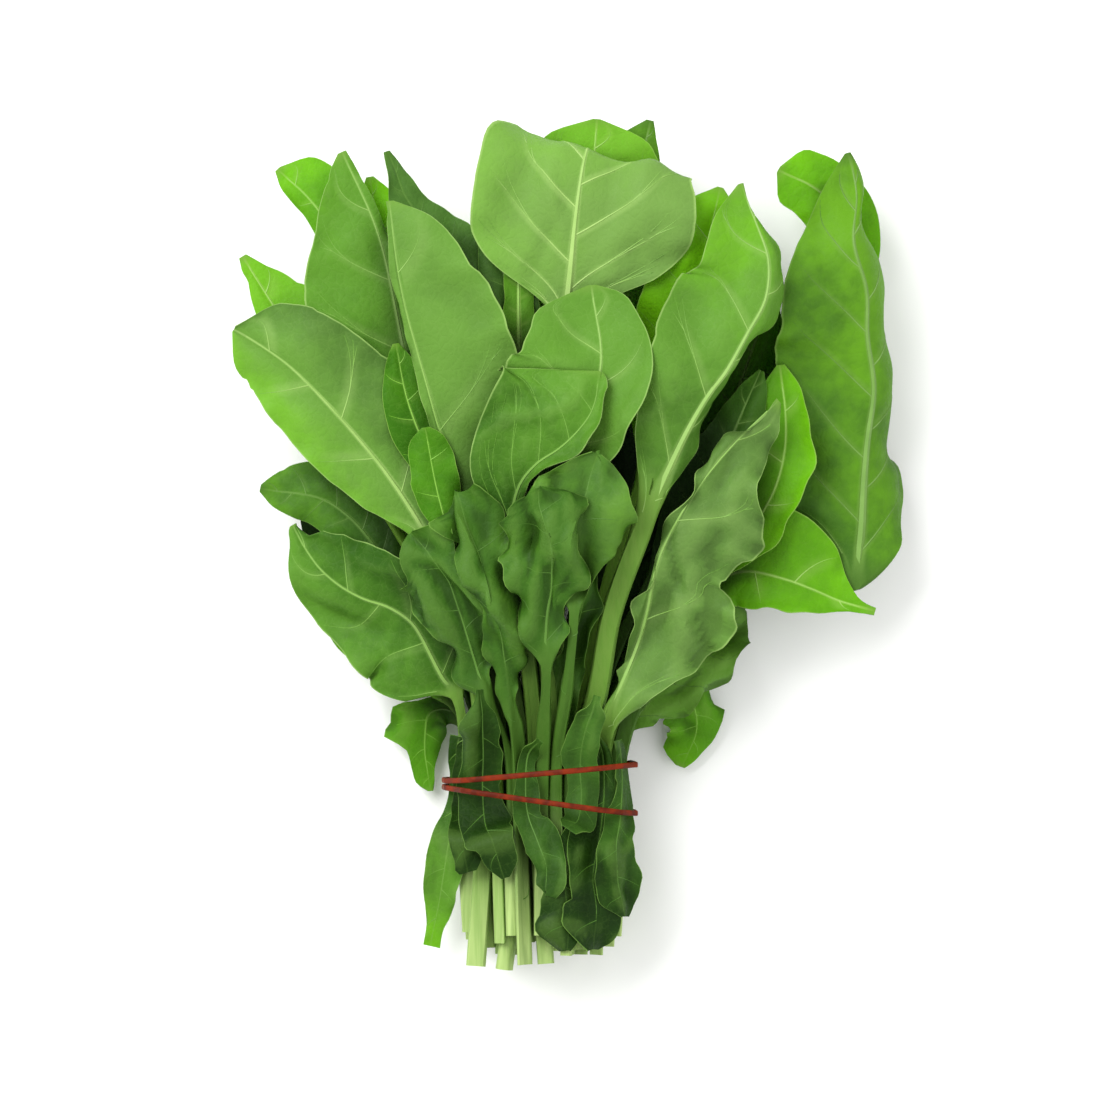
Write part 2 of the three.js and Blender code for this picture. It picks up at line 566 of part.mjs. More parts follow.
// Every demand that one triangle of a lower skin makes on one of an upper skin: the lift of some
// of the upper leaf's cells, in given shares, has to reach a least height.
function demandsOf(upper, lower, demands) {
  const corners = upper.map((vertex) => vertex.at);
  const below = lower.map((vertex) => vertex.at);
  const ask = (parts, height) => {
    const cells = parts.map(([k]) => upper[k].cell);
    const shares = parts.map(([, share]) => share);
    const least = height + GAP - parts.reduce((sum, [k, share]) => sum + share * corners[k].z, 0);
    const norm = shares.reduce((sum, share) => sum + share ** 2, 0);
    demands.push({ cells, shares, least, norm });
  };
  corners.forEach((corner, k) => {
    const shares = sharesAt(below, corner);
    if (shares) ask([[k, 1]], shares.reduce((sum, share, i) => sum + share * below[i].z, 0));
  });
  below.forEach((corner) => {
    const shares = sharesAt(corners, corner);
    if (shares) ask(shares.map((share, k) => [k, share]), corner.z);
  });
  for (let i = 0; i < 3; i++) {
    for (let j = 0; j < 3; j++) {
      const [a, b, c, d] = [corners[i], corners[(i + 1) % 3], below[j], below[(j + 1) % 3]];
      const crossing = crossingOf(a, b, c, d);
      if (crossing) ask([[i, 1 - crossing[0]], [(i + 1) % 3, crossing[0]]], mix(c.z, d.z, crossing[1]));
    }
  }
}

// The triangles laid so far, sorted into square cells seen from above.
class Bed {
  constructor(size) {
    this.size = size;
    this.cells = new Map();
  }

  keysOf(triangle) {
    const xs = triangle.map((vertex) => Math.floor(vertex.at.x / this.size));
    const ys = triangle.map((vertex) => Math.floor(vertex.at.y / this.size));
    const keys = [];
    for (let i = Math.min(...xs); i <= Math.max(...xs); i++) {
      for (let j = Math.min(...ys); j <= Math.max(...ys); j++) keys.push(i * 10000 + j);
    }
    return keys;
  }

  lay(triangle) {
    for (const key of this.keysOf(triangle)) {
      if (!this.cells.has(key)) this.cells.set(key, []);
      this.cells.get(key).push(triangle);
    }
  }

  under(triangle) {
    const found = new Set();
    for (const key of this.keysOf(triangle)) {
      for (const other of this.cells.get(key) ?? []) found.add(other);
    }
    return found;
  }
}

// Lifts a leaf's cells over all that lies beneath, as evenly as a soft leaf would.
function settle(leaf, rows, skin, bed) {
  const across = rows[0].length;
  const demands = [];
  for (const { at, cell } of skin.vertices) {
    demands.push({ cells: [cell], shares: [1], least: -at.z, norm: 1 }); // the table
  }
  for (const corners of skin.triangles) {
    const triangle = corners.map((corner) => skin.vertices[corner]);
    if (facingUp(triangle) > -TINY.area) continue;
    for (const other of bed.under(triangle)) demandsOf(triangle, other, demands);
  }
  const lifts = new Float64Array(rows.length * across);
  const firm = leaf.fold.some((angle) => angle !== 0);
  for (let round = 0; round < SETTLE.rounds + SETTLE.closing; round++) {
    const easing = round < SETTLE.rounds;
    if (easing) evenOut(lifts, rows.length, across);
    let worst = 0;
    for (const { cells, shares, least, norm } of demands) {
      let short = least;
      for (let k = 0; k < cells.length; k++) short -= shares[k] * lifts[cells[k]];
      if (short <= 0) continue;
      worst = Math.max(worst, short);
      for (let k = 0; k < cells.length; k++) lifts[cells[k]] += (shares[k] * short) / norm;
    }
    if (firm) levelRows(lifts, rows.length, across);
    if (!easing && worst < SETTLE.slack) break;
  }
  for (const vertex of skin.vertices) vertex.at.z += lifts[vertex.cell];
}

// Moves each cell's lift towards the mean of its neighbours.
function evenOut(lifts, count, across) {
  const before = Float64Array.from(lifts);
  for (let r = 0; r < count; r++) {
    for (let c = 0; c < across; c++) {
      const near = [];
      if (r > 0) near.push(before[(r - 1) * across + c]);
      if (r + 1 < count) near.push(before[(r + 1) * across + c]);
      if (c > 0) near.push(before[r * across + c - 1]);
      if (c + 1 < across) near.push(before[r * across + c + 1]);
      const mean = near.reduce((sum, lift) => sum + lift, 0) / near.length;
      lifts[r * across + c] = mix(before[r * across + c], mean, SETTLE.even) * SETTLE.fade;
    }
  }
}

// A folded leaf keeps its cross-section, so each row rises as one.
function levelRows(lifts, count, across) {
  for (let r = 0; r < count; r++) {
    const row = lifts.subarray(r * across, (r + 1) * across);
    row.fill(Math.max(...row));
  }
}

function meshOf(name, points, triangles, colour) {
  const geometry = new THREE.BufferGeometry();
  const numbers = points.flatMap((point) => point.toArray());
  geometry.setAttribute('position', new THREE.Float32BufferAttribute(numbers, 3));
  geometry.setIndex(triangles.flat());
  geometry.computeVertexNormals();
  const material = new THREE.MeshStandardMaterial({ color: colour, roughness: 0.6, metalness: 0 });
  const mesh = new THREE.Mesh(geometry, material);
  mesh.name = name;
  return mesh;
}

// Where the skins' edges lie within the reach of the band, seen from the cut ends.
function bundlePoints(skins) {
  const points = [];
  const take = (a, b) => {
    if (Math.min(a.y, b.y) > BAND.reach || Math.max(a.y, b.y) < -BAND.reach) return;
    for (const y of [-BAND.reach, BAND.reach]) {
      const share = THREE.MathUtils.clamp((y - a.y) / (b.y - a.y || 1), 0, 1);
      const point = { x: mix(a.x, b.x, share), z: mix(a.z, b.z, share) };
      if (Math.abs(point.x) < TIE.halfWidth + BAND.stray) points.push(point);
    }
  };
  for (const { vertices, triangles } of skins) {
    for (const corners of triangles) {
      const [a, b, c] = corners.map((corner) => vertices[corner].at);
      take(a, b);
      take(b, c);
      take(c, a);
    }
  }
  return points;
}

// The outline of the bundle, a distance out, at an angle seen from the cut ends: 0 at the left, a
// quarter turn at the top.
function bundleAt(points, angle, out) {
  const [cx, cz] = [-Math.cos(angle), Math.sin(angle)];
  const reachOf = (point) => point.x * cx + point.z * cz;
  const point = points.reduce((best, next) => (reachOf(next) > reachOf(best) ? next : best));
  return { x: point.x + out * cx, z: point.z + out * cz, cx, cz };
}

// One closed loop of rubber that goes round the bundle twice and crosses over itself once.
function makeBand(skins) {
  const bundle = bundlePoints(skins);
  const points = [];
  for (let step = 0; step < BAND.steps; step++) {
    const angle = (step / BAND.steps) * 4 * Math.PI;
    const first = angle < 2 * Math.PI;
    const turn = angle % (2 * Math.PI);
    const start = first ? BAND.left : -BAND.left;
    const right = first ? BAND.rightUpper : BAND.rightLower;
    const top = turn < Math.PI;
    const point = bundleAt(bundle, turn, BAND.clearance + BAND.thickness / 2);
    const share = THREE.MathUtils.clamp((point.x + TIE.halfWidth) / (2 * TIE.halfWidth), 0, 1);
    const y = top ? mix(start, right, share) : mix(-start, right, share ** CROSSING.late);
    const near = (CROSSING.reach - Math.abs(share - CROSSING.at)) / CROSSING.rise;
    const over = first && !top ? (BAND.thickness + CROSSING.gap) * smooth(near) : 0;
    points.push({ ...point, x: point.x + over * point.cx, y, z: point.z + over * point.cz });
  }
  const vertices = points.flatMap(({ x, y, z, cx, cz }) => BAND_SECTION.map(([along, out]) => {
    const lift = (out * BAND.thickness) / 2;
    return new THREE.Vector3(x + lift * cx, y + (along * BAND.width) / 2, z + lift * cz);
  }));
  const corner = (step, k) => step * BAND_SECTION.length + k;
  const triangles = [];
  for (let step = 0; step < BAND.steps; step++) {
    const after = (step + 1) % BAND.steps;
    for (let k = 0; k < BAND_SECTION.length; k++) {
      const next = (k + 1) % BAND_SECTION.length;
      triangles.push([corner(step, k), corner(after, next), corner(step, next)]);
      triangles.push([corner(step, k), corner(after, k), corner(after, next)]);
    }
  }
  return meshOf('rubber_band', vertices, triangles, COLOURS.band);
}

const DEFAULTS = {
  widest: 0.5, taper: 0.8, tip: 0.6, curl: [0, 0], fold: [0, 0], roll: [0, 0], wave: 0.8, lobes: 0,
  turns: 2, end: BLADE.tipWidth, columns: SLIM, stations: SMALL, look: 'dark',
};

function makeBunch() {
  const bunch = new THREE.Group();
  const leaves = LEAVES.map((leaf) => ({ ...DEFAULTS, ...leaf }));
  const seats = stackStems(leaves);
  const bed = new Bed(BED_SIZE);
  const skins = [];
  leaves.forEach((leaf, index) => {
    const rows = layLeaf(leaf, seats[index]);
    squareUp(rows, rows.length - leaf.stations.length);
    const skin = skinOf(rows);
    settle(leaf, rows, skin, bed);
    skins.push(skin);
    for (const corners of skin.triangles) {
      const triangle = corners.map((corner) => skin.vertices[corner]);
      if (facingUp(triangle) > TINY.area) bed.lay(triangle);
    }
    const points = skin.vertices.map((vertex) => vertex.at);
    bunch.add(meshOf(leaf.name, points, skin.triangles, COLOURS[leaf.look]));
  });
  bunch.add(makeBand(skins));
  const box = new THREE.Box3().setFromObject(bunch);
  bunch.position.set(-(box.min.x + box.max.x) / 2, -(box.min.y + box.max.y) / 2, -box.min.z);
  return bunch;
}

export default makeBunch();
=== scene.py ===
"""A bunch of spinach in a rubber band, lying on a pale floor and seen from straight above."""
import json
import logging
import math
from dataclasses import dataclass, field, replace
from enum import Enum
from typing import Any

import bpy
import numpy as np
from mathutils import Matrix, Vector


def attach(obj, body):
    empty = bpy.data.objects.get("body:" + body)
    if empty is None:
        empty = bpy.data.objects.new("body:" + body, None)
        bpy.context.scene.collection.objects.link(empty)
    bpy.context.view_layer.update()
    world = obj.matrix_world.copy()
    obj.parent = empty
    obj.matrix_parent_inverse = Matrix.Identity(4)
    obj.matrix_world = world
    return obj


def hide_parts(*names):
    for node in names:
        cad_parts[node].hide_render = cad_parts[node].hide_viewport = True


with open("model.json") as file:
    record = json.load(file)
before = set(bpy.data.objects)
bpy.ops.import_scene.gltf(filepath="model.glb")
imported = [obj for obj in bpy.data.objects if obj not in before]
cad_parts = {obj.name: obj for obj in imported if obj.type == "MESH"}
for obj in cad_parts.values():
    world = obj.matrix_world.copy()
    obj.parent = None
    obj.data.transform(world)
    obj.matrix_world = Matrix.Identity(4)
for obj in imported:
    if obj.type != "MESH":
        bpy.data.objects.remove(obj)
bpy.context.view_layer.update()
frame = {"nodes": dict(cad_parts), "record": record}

LOG = logging.getLogger("spinach")
MM = 0.001
BODY = "root"
# Painted shade: the dark green that colours run to deep between the leaves.
SHADOW_GREEN = 0x0A1C04
SHADOW_SHARE = 0.8
FIRST_SEED = 100


def linear(code: int) -> tuple[float, float, float, float]:
    """Turns a colour written as 0xRRGGBB into linear red, green, blue and alpha."""
    shares = [((code >> shift) & 255) / 255 for shift in (16, 8, 0)]
    red, green, blue = (s / 12.92 if s <= 0.04045 else ((s + 0.055) / 1.055) ** 2.4 for s in shares)
    return red, green, blue, 1.0


def ease(value: np.ndarray, low: float, high: float) -> np.ndarray:
    """Runs smoothly from 0 at low to 1 at high.

    Args:
        value: the numbers to ease.
        low: where the result is 0.
        high: where the result is 1.

    Returns:
        The eased numbers.
    """
    share = np.clip((value - low) / (high - low), 0, 1)
    return share * share * (3 - 2 * share)


class Graph:
    """Adds nodes to a node tree and joins them."""

    def __init__(self, tree: bpy.types.NodeTree) -> None:
        """Takes the tree and empties it."""
        self.tree = tree
        tree.nodes.clear()

    def add(self, kind: str, inputs: dict[Any, Any] | None = None, **settings: Any) -> bpy.types.Node:
        """Adds one node.

        Args:
            kind: Blender's name for the node type.
            inputs: a value, or a socket to join, for each input by its name or number.
            settings: the node's own properties.

        Returns:
            The node.
        """
        node = self.tree.nodes.new(kind)
        for name, value in settings.items():
            setattr(node, name, value)
        for key, value in (inputs or {}).items():
            socket = node.inputs[key]
            if isinstance(value, bpy.types.NodeSocket):
                self.tree.links.new(value, socket)
            else:
                socket.default_value = value
        return node

    def maths(self, operation: str, *values: Any, clamp: bool = False) -> bpy.types.NodeSocket:
        """Adds a Math node and returns its result."""
        inputs = dict(enumerate(values))
        return self.add("ShaderNodeMath", inputs, operation=operation, use_clamp=clamp).outputs[0]

    def span(self, value: Any, low: float, high: float, start: float = 0.0,
             end: float = 1.0) -> bpy.types.NodeSocket:
        """Maps a value smoothly from low..high to start..end."""
        inputs = {"Value": value, "From Min": low, "From Max": high, "To Min": start, "To Max": end}
        return self.add("ShaderNodeMapRange", inputs, interpolation_type="SMOOTHSTEP").outputs[0]

    def blend(self, share: Any, first: Any, second: Any, mode: str = "MIX") -> bpy.types.NodeSocket:
        """Mixes two colours and returns the result."""
        inputs = {0: share, 6: first, 7: second}
        return self.add("ShaderNodeMix", inputs, data_type="RGBA", blend_type=mode).outputs[2]

    def attribute(self, name: str) -> bpy.types.NodeSocket:
        """Reads a number that the mesh carries."""
        return self.add("ShaderNodeAttribute", attribute_name=name).outputs["Fac"]

    def noise(self, place: bpy.types.NodeSocket, scale: float,
              detail: float = 2.0) -> bpy.types.NodeSocket:
        """Reads the grey value of a noise texture."""
        inputs = {"Vector": place, "Scale": scale, "Detail": detail}
        return self.add("ShaderNodeTexNoise", inputs).outputs[0]

    def in_shadow(self, colour: bpy.types.NodeSocket) -> bpy.types.NodeSocket:
        """Darkens a colour with painted shade deep between the leaves."""
        share = self.maths("MULTIPLY", self.attribute("shade"), SHADOW_SHARE)
        return self.blend(share, colour, linear(SHADOW_GREEN))


def new_material(name: str) -> tuple[bpy.types.Material, Graph]:
    """Makes an empty node material and the graph to fill."""
    material = bpy.data.materials.new(name)
    material.use_nodes = True
    return material, Graph(material.node_tree)


class Slot(Enum):
    """The record's material slots."""

    DARK = "leaf_dark"
    MIDDLE = "leaf_middle"
    BRIGHT = "leaf_bright"
    RUBBER = "rubber"


@dataclass(frozen=True)
class LeafFinish:
    """Living leaf: a green blade with a pale stem, rib, veins and margin.

    Attributes:
        name: the material's name.
        deep: the darkest green of the upper side.
        light: the middle green of the upper side.
        glow: the yellow green where light comes through, painted into the blade where the tone is high.
        dull: the greyer green of the underside.
        vein: the pale green of the rib and the larger veins.
        through: how much light comes through.
        stem: the stems' green.
        cut: the stems' pale green at the cut ends.
    """

    name: str
    deep: int
    light: int
    glow: int
    dull: int
    vein: int
    through: float
    stem: int
    cut: int = 0xAAC377

    def face(self, graph: Graph, place: bpy.types.NodeSocket) -> bpy.types.NodeSocket:
        """Lays the blade's greens over one another.

        Args:
            graph: the material's graph.
            place: where on the object a point lies.

        Returns:
            The blade's colour without its veins.
        """
        clouds = graph.noise(place, 34.0, 3.0)
        mottle = graph.noise(place, 210.0)
        tone = graph.maths("ADD", graph.attribute("tone"), graph.span(clouds, 0.3, 0.7, -0.1, 0.1))
        tone = graph.maths("ADD", tone, graph.span(mottle, 0.3, 0.7, -0.04, 0.04))
        face = graph.blend(graph.span(tone, 0.0, 0.55), linear(self.deep), linear(self.light))
        # Painted light: the glow green of light coming through, where the tone is high.
        face = graph.blend(graph.span(tone, 0.55, 1.0), face, linear(self.glow))
        under = graph.maths("MULTIPLY", graph.attribute("under"), 0.8)
        dull = graph.maths("MAXIMUM", graph.attribute("dull"), under)
        return graph.blend(dull, face, graph.blend(0.3, linear(self.dull), face))

    def colour(self, graph: Graph, place: bpy.types.NodeSocket, net: bpy.types.NodeSocket,
               fibres: bpy.types.NodeSocket) -> bpy.types.NodeSocket:
        """Lays the greens over one another, from the blade to the cut end.

        Args:
            graph: the material's graph.
            place: where on the object a point lies.
            net: distance to the threads of the fine net of veins.
            fibres: the fine grooves along the stems.

        Returns:
            The colour.
        """
        vein = linear(self.vein)
        distance = graph.maths("ABSOLUTE", graph.attribute("across"))
        blade = graph.attribute("blade")
        face = self.face(graph, place)
        ladder = graph.maths("PINGPONG", graph.attribute("ladder"), 0.5)
        inner = graph.span(distance, 0.95, 0.35)
        inner = graph.maths("MULTIPLY", inner, graph.attribute("strength"))
        beside = graph.maths("MULTIPLY", graph.span(ladder, 0.13, 0.0, 0, 0.34), inner)
        face = graph.blend(beside, face, vein)
        face = graph.blend(graph.span(net, 0.045, 0.0, 0, 0.07), face, vein)
        face = graph.blend(graph.span(distance, 0.972, 0.992, 0, 0.7), face, vein)
        rib = graph.maths("MULTIPLY", graph.span(graph.attribute("rib"), 1.9, 0.7, 0, 0.75),
                          graph.maths("MINIMUM", graph.attribute("strength"), 1.0))
        face = graph.blend(rib, face, vein)
        pale = graph.span(graph.attribute("cut"), 52.0, 0.0)
        stem = graph.blend(pale, linear(self.stem), linear(self.cut))
        stem = graph.blend(graph.span(fibres, 0.38, 0.68, 0, 0.28), stem, linear(self.light))
        whole = graph.blend(graph.span(blade, 0.1, 0.9), stem, face)
        # Painted shade in the hollows and painted highlight on the ridges, from how far a point stands
        # out.
        rise = graph.attribute("rise")
        whole = graph.blend(graph.span(rise, 0.0, -1.0, 0, 0.45), whole, linear(SHADOW_GREEN))
        whole = graph.blend(graph.span(rise, 0.0, 1.0, 0, 0.2), whole, vein)
        return graph.in_shadow(whole)

    @staticmethod
    def net(graph: Graph, place: bpy.types.NodeSocket) -> bpy.types.NodeSocket:
        """The fine net between the side veins, as the distance to its threads."""
        bent = graph.add("ShaderNodeTexNoise", {"Vector": place, "Scale": 320.0}).outputs[1]
        moved = graph.add("ShaderNodeVectorMath", {0: bent, 3: 0.0035}, operation="SCALE").outputs[0]
        where = graph.add("ShaderNodeVectorMath", {0: place, 1: moved}).outputs[0]
        return graph.add("ShaderNodeTexVoronoi", {"Vector": where, "Scale": 330.0, "Randomness": 1.0},
                         feature="DISTANCE_TO_EDGE").outputs["Distance"]

    @staticmethod
    def fibres(graph: Graph, place: bpy.types.NodeSocket) -> bpy.types.NodeSocket:
        """Fine grooves along the stems."""
        drawn = graph.add("ShaderNodeMapping", {"Vector": place, "Scale": (1, 0.05, 1)})
        return graph.noise(drawn.outputs[0], 760.0)

    def build(self) -> bpy.types.Material:
        """Makes the material."""
        material, graph = new_material(self.name)
        place = graph.add("ShaderNodeTexCoord").outputs["Object"]
        net, fibres = self.net(graph, place), self.fibres(graph, place)
        colour = self.colour(graph, place, net, fibres)
        grain = graph.noise(place, 1500.0)
        crinkle = graph.noise(place, 120.0)
        blade = graph.attribute("blade")
        cells = graph.maths("MULTIPLY", graph.span(net, 0.0, 0.3, 0, 0.4), blade)
        relief = graph.maths("ADD", cells, graph.maths("MULTIPLY", grain, 0.15))
        relief = graph.maths("ADD", relief, graph.maths("MULTIPLY", crinkle, 1.1))
        grooves = graph.maths("MULTIPLY", fibres, graph.maths("SUBTRACT", 1.3, blade))
        height = graph.maths("ADD", relief, grooves)
        bump = graph.add("ShaderNodeBump", {"Strength": 0.4, "Distance": 0.4 * MM, "Height": height})
        gloss = graph.span(grain, 0.3, 0.7, 0.46, 0.62)
        skin = graph.add("ShaderNodeBsdfPrincipled", {
            "Base Color": colour, "Roughness": gloss, "Specular IOR Level": 0.1,
            "Normal": bump.outputs[0],
        })
        lit = graph.blend(0.55, colour, linear(self.glow))
        glow = graph.add("ShaderNodeBsdfTranslucent", {"Color": lit, "Normal": bump.outputs[0]})
        both = graph.add("ShaderNodeMixShader", {0: self.through, 1: skin.outputs[0], 2: glow.outputs[0]})
        graph.add("ShaderNodeOutputMaterial", {"Surface": both.outputs[0]})
        return material


@dataclass(frozen=True)
class VeinFinish:
    """Raised rib and side veins: pale at the rib, and green where they fade out.

    Attributes:
        name: the material's name.
        pale: the colour at a vein's thick end.
        green: the colour at its thin end.
    """

    name: str
    pale: int
    green: int

    def build(self) -> bpy.types.Material:
        """Makes the material."""
        material, graph = new_material(self.name)
        place = graph.add("ShaderNodeTexCoord").outputs["Object"]
        mottle = graph.noise(place, 160.0)
        fade = graph.maths("MULTIPLY", graph.attribute("fade"), graph.span(mottle, 0.2, 0.8, 0.75, 1.0))
        colour = graph.blend(fade, linear(self.green), linear(self.pale))
        skin = graph.add("ShaderNodeBsdfPrincipled", {
            "Base Color": graph.in_shadow(colour), "Roughness": 0.5, "Specular IOR Level": 0.18,
        })
        graph.add("ShaderNodeOutputMaterial", {"Surface": skin.outputs[0]})
        return material


@dataclass(frozen=True)
class RubberFinish:
    """Matt brick red rubber with a dusty bloom."""

    name: str = "band_rubber"
    red: int = 0x762405
    dark: int = 0x501604

    def build(self) -> bpy.types.Material:
        """Makes the material."""
        material, graph = new_material(self.name)
        place = graph.add("ShaderNodeTexCoord").outputs["Object"]
        bloom = graph.noise(place, 260.0, 4.0)
        grain = graph.noise(place, 2600.0)
        colour = graph.blend(graph.span(bloom, 0.35, 0.65), linear(self.dark), linear(self.red))
        bump = graph.add("ShaderNodeBump", {"Strength": 0.3, "Distance": 0.1 * MM, "Height": grain})
        rough = graph.span(bloom, 0.3, 0.7, 0.45, 0.65)
        skin = graph.add("ShaderNodeBsdfPrincipled", {
            "Base Color": colour, "Roughness": rough, "Specular IOR Level": 0.12,
            "Normal": bump.outputs[0],
        })
        graph.add("ShaderNodeOutputMaterial", {"Surface": skin.outputs[0]})
        return material


def merged(node: str) -> tuple[np.ndarray, np.ndarray]:
    """Reads a CAD node's mesh with its doubled corners made one.

    Args:
        node: the node's name.

    Returns:
        The points in millimetres, and the triangles.
    """
    mesh = frame["nodes"][node].data
    points = np.empty(len(mesh.vertices) * 3)
    mesh.vertices.foreach_get("co", points)
    points = points.reshape(-1, 3) / MM
    mesh.calc_loop_triangles()
    triangles = np.empty(len(mesh.loop_triangles) * 3, dtype=int)
    mesh.loop_triangles.foreach_get("vertices", triangles)
    _, first, index = np.unique(np.round(points, 2), axis=0, return_index=True, return_inverse=True)
    return points[first], index.ravel()[triangles].reshape(-1, 3)


@dataclass
class Sheet:
    """A leaf's solid as rows of columns, from its cut end or hidden base to its tip.

    Attributes:
        middle: the middle of the sheet, rows by columns by 3.
        half: from the middle to the upper side.
    """

    middle: np.ndarray
    half: np.ndarray

    @classmethod
    def of(cls, node: str, from_top: bool) -> "Sheet":
        """Finds the rows of a node's solid by walking over its triangles.

        Args:
            node: the node's name.
            from_top: True if the leaf starts above the band and points down.

        Returns:
            The sheet.
        """
        points, triangles = merged(node)
        near: list[set[int]] = [set() for _ in points]
        for a, b, c in triangles.tolist():
            near[a].update((b, c))
            near[b].update((a, c))
            near[c].update((a, b))
        size = max(len(others) for others in near)
        caps = [i for i, others in enumerate(near) if len(others) == size]
        caps.sort(key=lambda i: points[i][1], reverse=from_top)
        start, end = caps[0], caps[-1]
        rings = cls.rings(near, start, end, size)
        across = size // 2
        upper = points[rings[:, :across]]
        lower = points[rings[:, :across - 1:-1]]
        return cls((upper + lower) / 2, (upper - lower) / 2)

    @staticmethod
    def rings(near: list[set[int]], start: int, end: int, size: int) -> np.ndarray:
        """Follows the rings of corners from one end of a leaf to the other.

        Args:
            near: the neighbours of each corner.
            start: the corner in the middle of the first end.
            end: the corner in the middle of the last end.
            size: how many corners a ring has.

        Returns:
            The corners' numbers, one row for each ring, upper left corner first.
        """
        across = size // 2
        first = near[start]
        loop = [next(iter(first))]
        while len(loop) < size:
            ahead = [i for i in near[loop[-1]] & first if i not in loop]
            loop.append(ahead[0])
        behind = {start, *loop}
        forward = [near[i] - behind for i in loop]
        single = next(k for k, others in enumerate(forward) if len(others) == 1)
        triple = next(k for k, others in enumerate(forward) if len(others) == 3)
        step = 1 if (triple - single) % size == across - 1 else -1
        ring = [loop[(single + step * (k - across)) % size] for k in range(size)]
        rows = [ring]
        seen = {start, *ring}
        while True:
            ahead = {k: near[ring[k]] - seen for k in range(size)}
            if end in ahead[0]:
                return np.array(rows)
            new = [-1] * size
            new[across] = next(iter(ahead[across]))
            for k in range(across + 1, size - 1):
                new[k] = next(iter(ahead[k] - {new[k - 1]}))
            for k in range(across - 1, -1, -1):
                new[k] = next(iter(ahead[k] - {new[k + 1]}))
            new[size - 1] = next(iter(ahead[size - 1] - {new[0], new[size - 2]}))
            ring = new
            rows.append(ring)
            seen.update(ring)


def weights(knots: np.ndarray, places: np.ndarray) -> np.ndarray:
    """Shares of the knots' values in a smooth line's values at given places.

    Args:
        knots: where the values are known, rising.
        places: where they are wanted.

    Returns:
        One row of shares for each place.
    """
    count = len(knots)
    gaps = np.diff(knots)
    slopes = np.zeros((count, count))
    for i in range(count):
        if i in (0, count - 1):
            low = min(i, count - 2)
            slopes[i, low + 1], slopes[i, low] = 1 / gaps[low], -1 / gaps[low]
            continue
        before, after = gaps[i - 1], gaps[i]
        total = before + after
        slopes[i, i - 1] -= after / (before * total)
        slopes[i, i] += after / (before * total) - before / (after * total)
        slopes[i, i + 1] += before / (after * total)
    found = np.clip(np.searchsorted(knots, places, side="right") - 1, 0, count - 2)
    t = (places - knots[found]) / gaps[found]
    shares = np.zeros((len(places), count))
    rows = np.arange(len(places))
    shares[rows, found] += 2 * t ** 3 - 3 * t ** 2 + 1
    shares[rows, found + 1] += 3 * t ** 2 - 2 * t ** 3
    rise = ((t ** 3 - 2 * t ** 2 + t) * gaps[found])[:, None]
    fall = ((t ** 3 - t ** 2) * gaps[found])[:, None]
    return shares + rise * slopes[found] + fall * slopes[found + 1]


def unit(vectors: np.ndarray) -> np.ndarray:
    """Makes vectors one long."""
    return vectors / np.maximum(np.linalg.norm(vectors, axis=-1, keepdims=True), 1e-9)


@dataclass(frozen=True)
class Nudge:
    """Moves a leaf a little near one place, to give its outline or its lie more truth.

    Attributes:
        place: across and along the bunch, in mm.
        shift: how far the leaf moves there, across, along and up, in mm.
        reach: over what distance the move fades out, in mm.
    """

    place: tuple[float, float]
    shift: tuple[float, float, float]
    reach: float = 12.0


@dataclass(frozen=True)
class LeafForm:
    """How one leaf is dressed over its solid.

    Attributes:
        tone: from 0, deep green, through 0.5, middle green, to 1, where the glow of light coming through
            is painted in.
        tipward: how much lighter the leaf is at its tip than at its base.
        rightward: how much lighter it is at its right margin than at its left.
        dull: how much it shows the greyer green of an underside.
        pucker: how far the blade swells between the side veins, in mm.
        ruffle: how far the margin waves up and down, in mm.
        ragged: how far the margin is uneven, in mm.
        crease: how high the blade's creases are, in mm.
        creases: how many there are.
        billow: how far the blade bends up and down in broad waves, in mm.
        veins: side veins on each half.
        vein: how strong the veins are.
        lean: how far the side veins run towards the tip, as a share of the blade.
        forks: True for side veins that fork.
        fine: share of the full number of faces.
        shaded: how much the painted shade between the leaves tells on it.
        relief: how much painted shade darkens its hollows and painted highlight pales its ridges.
        left: width of its left half as a share of the solid's.
        nudges: small moves of its outline.
    """

    tone: float = 0.5
    tipward: float = 0.2
    rightward: float = 0.0
    dull: float = 0.0
    pucker: float = 0.55
    ruffle: float = 0.9
    ragged: float = 0.9
    crease: float = 0.8
    creases: int = 4
    billow: float = 1.3
    veins: int = 6
    vein: float = 0.8
    lean: float = 0.2
    forks: bool = True
    fine: float = 1.0
    shaded: float = 1.0
    relief: float = 0.3
    left: float = 1.0
    nudges: tuple[Nudge, ...] = ()


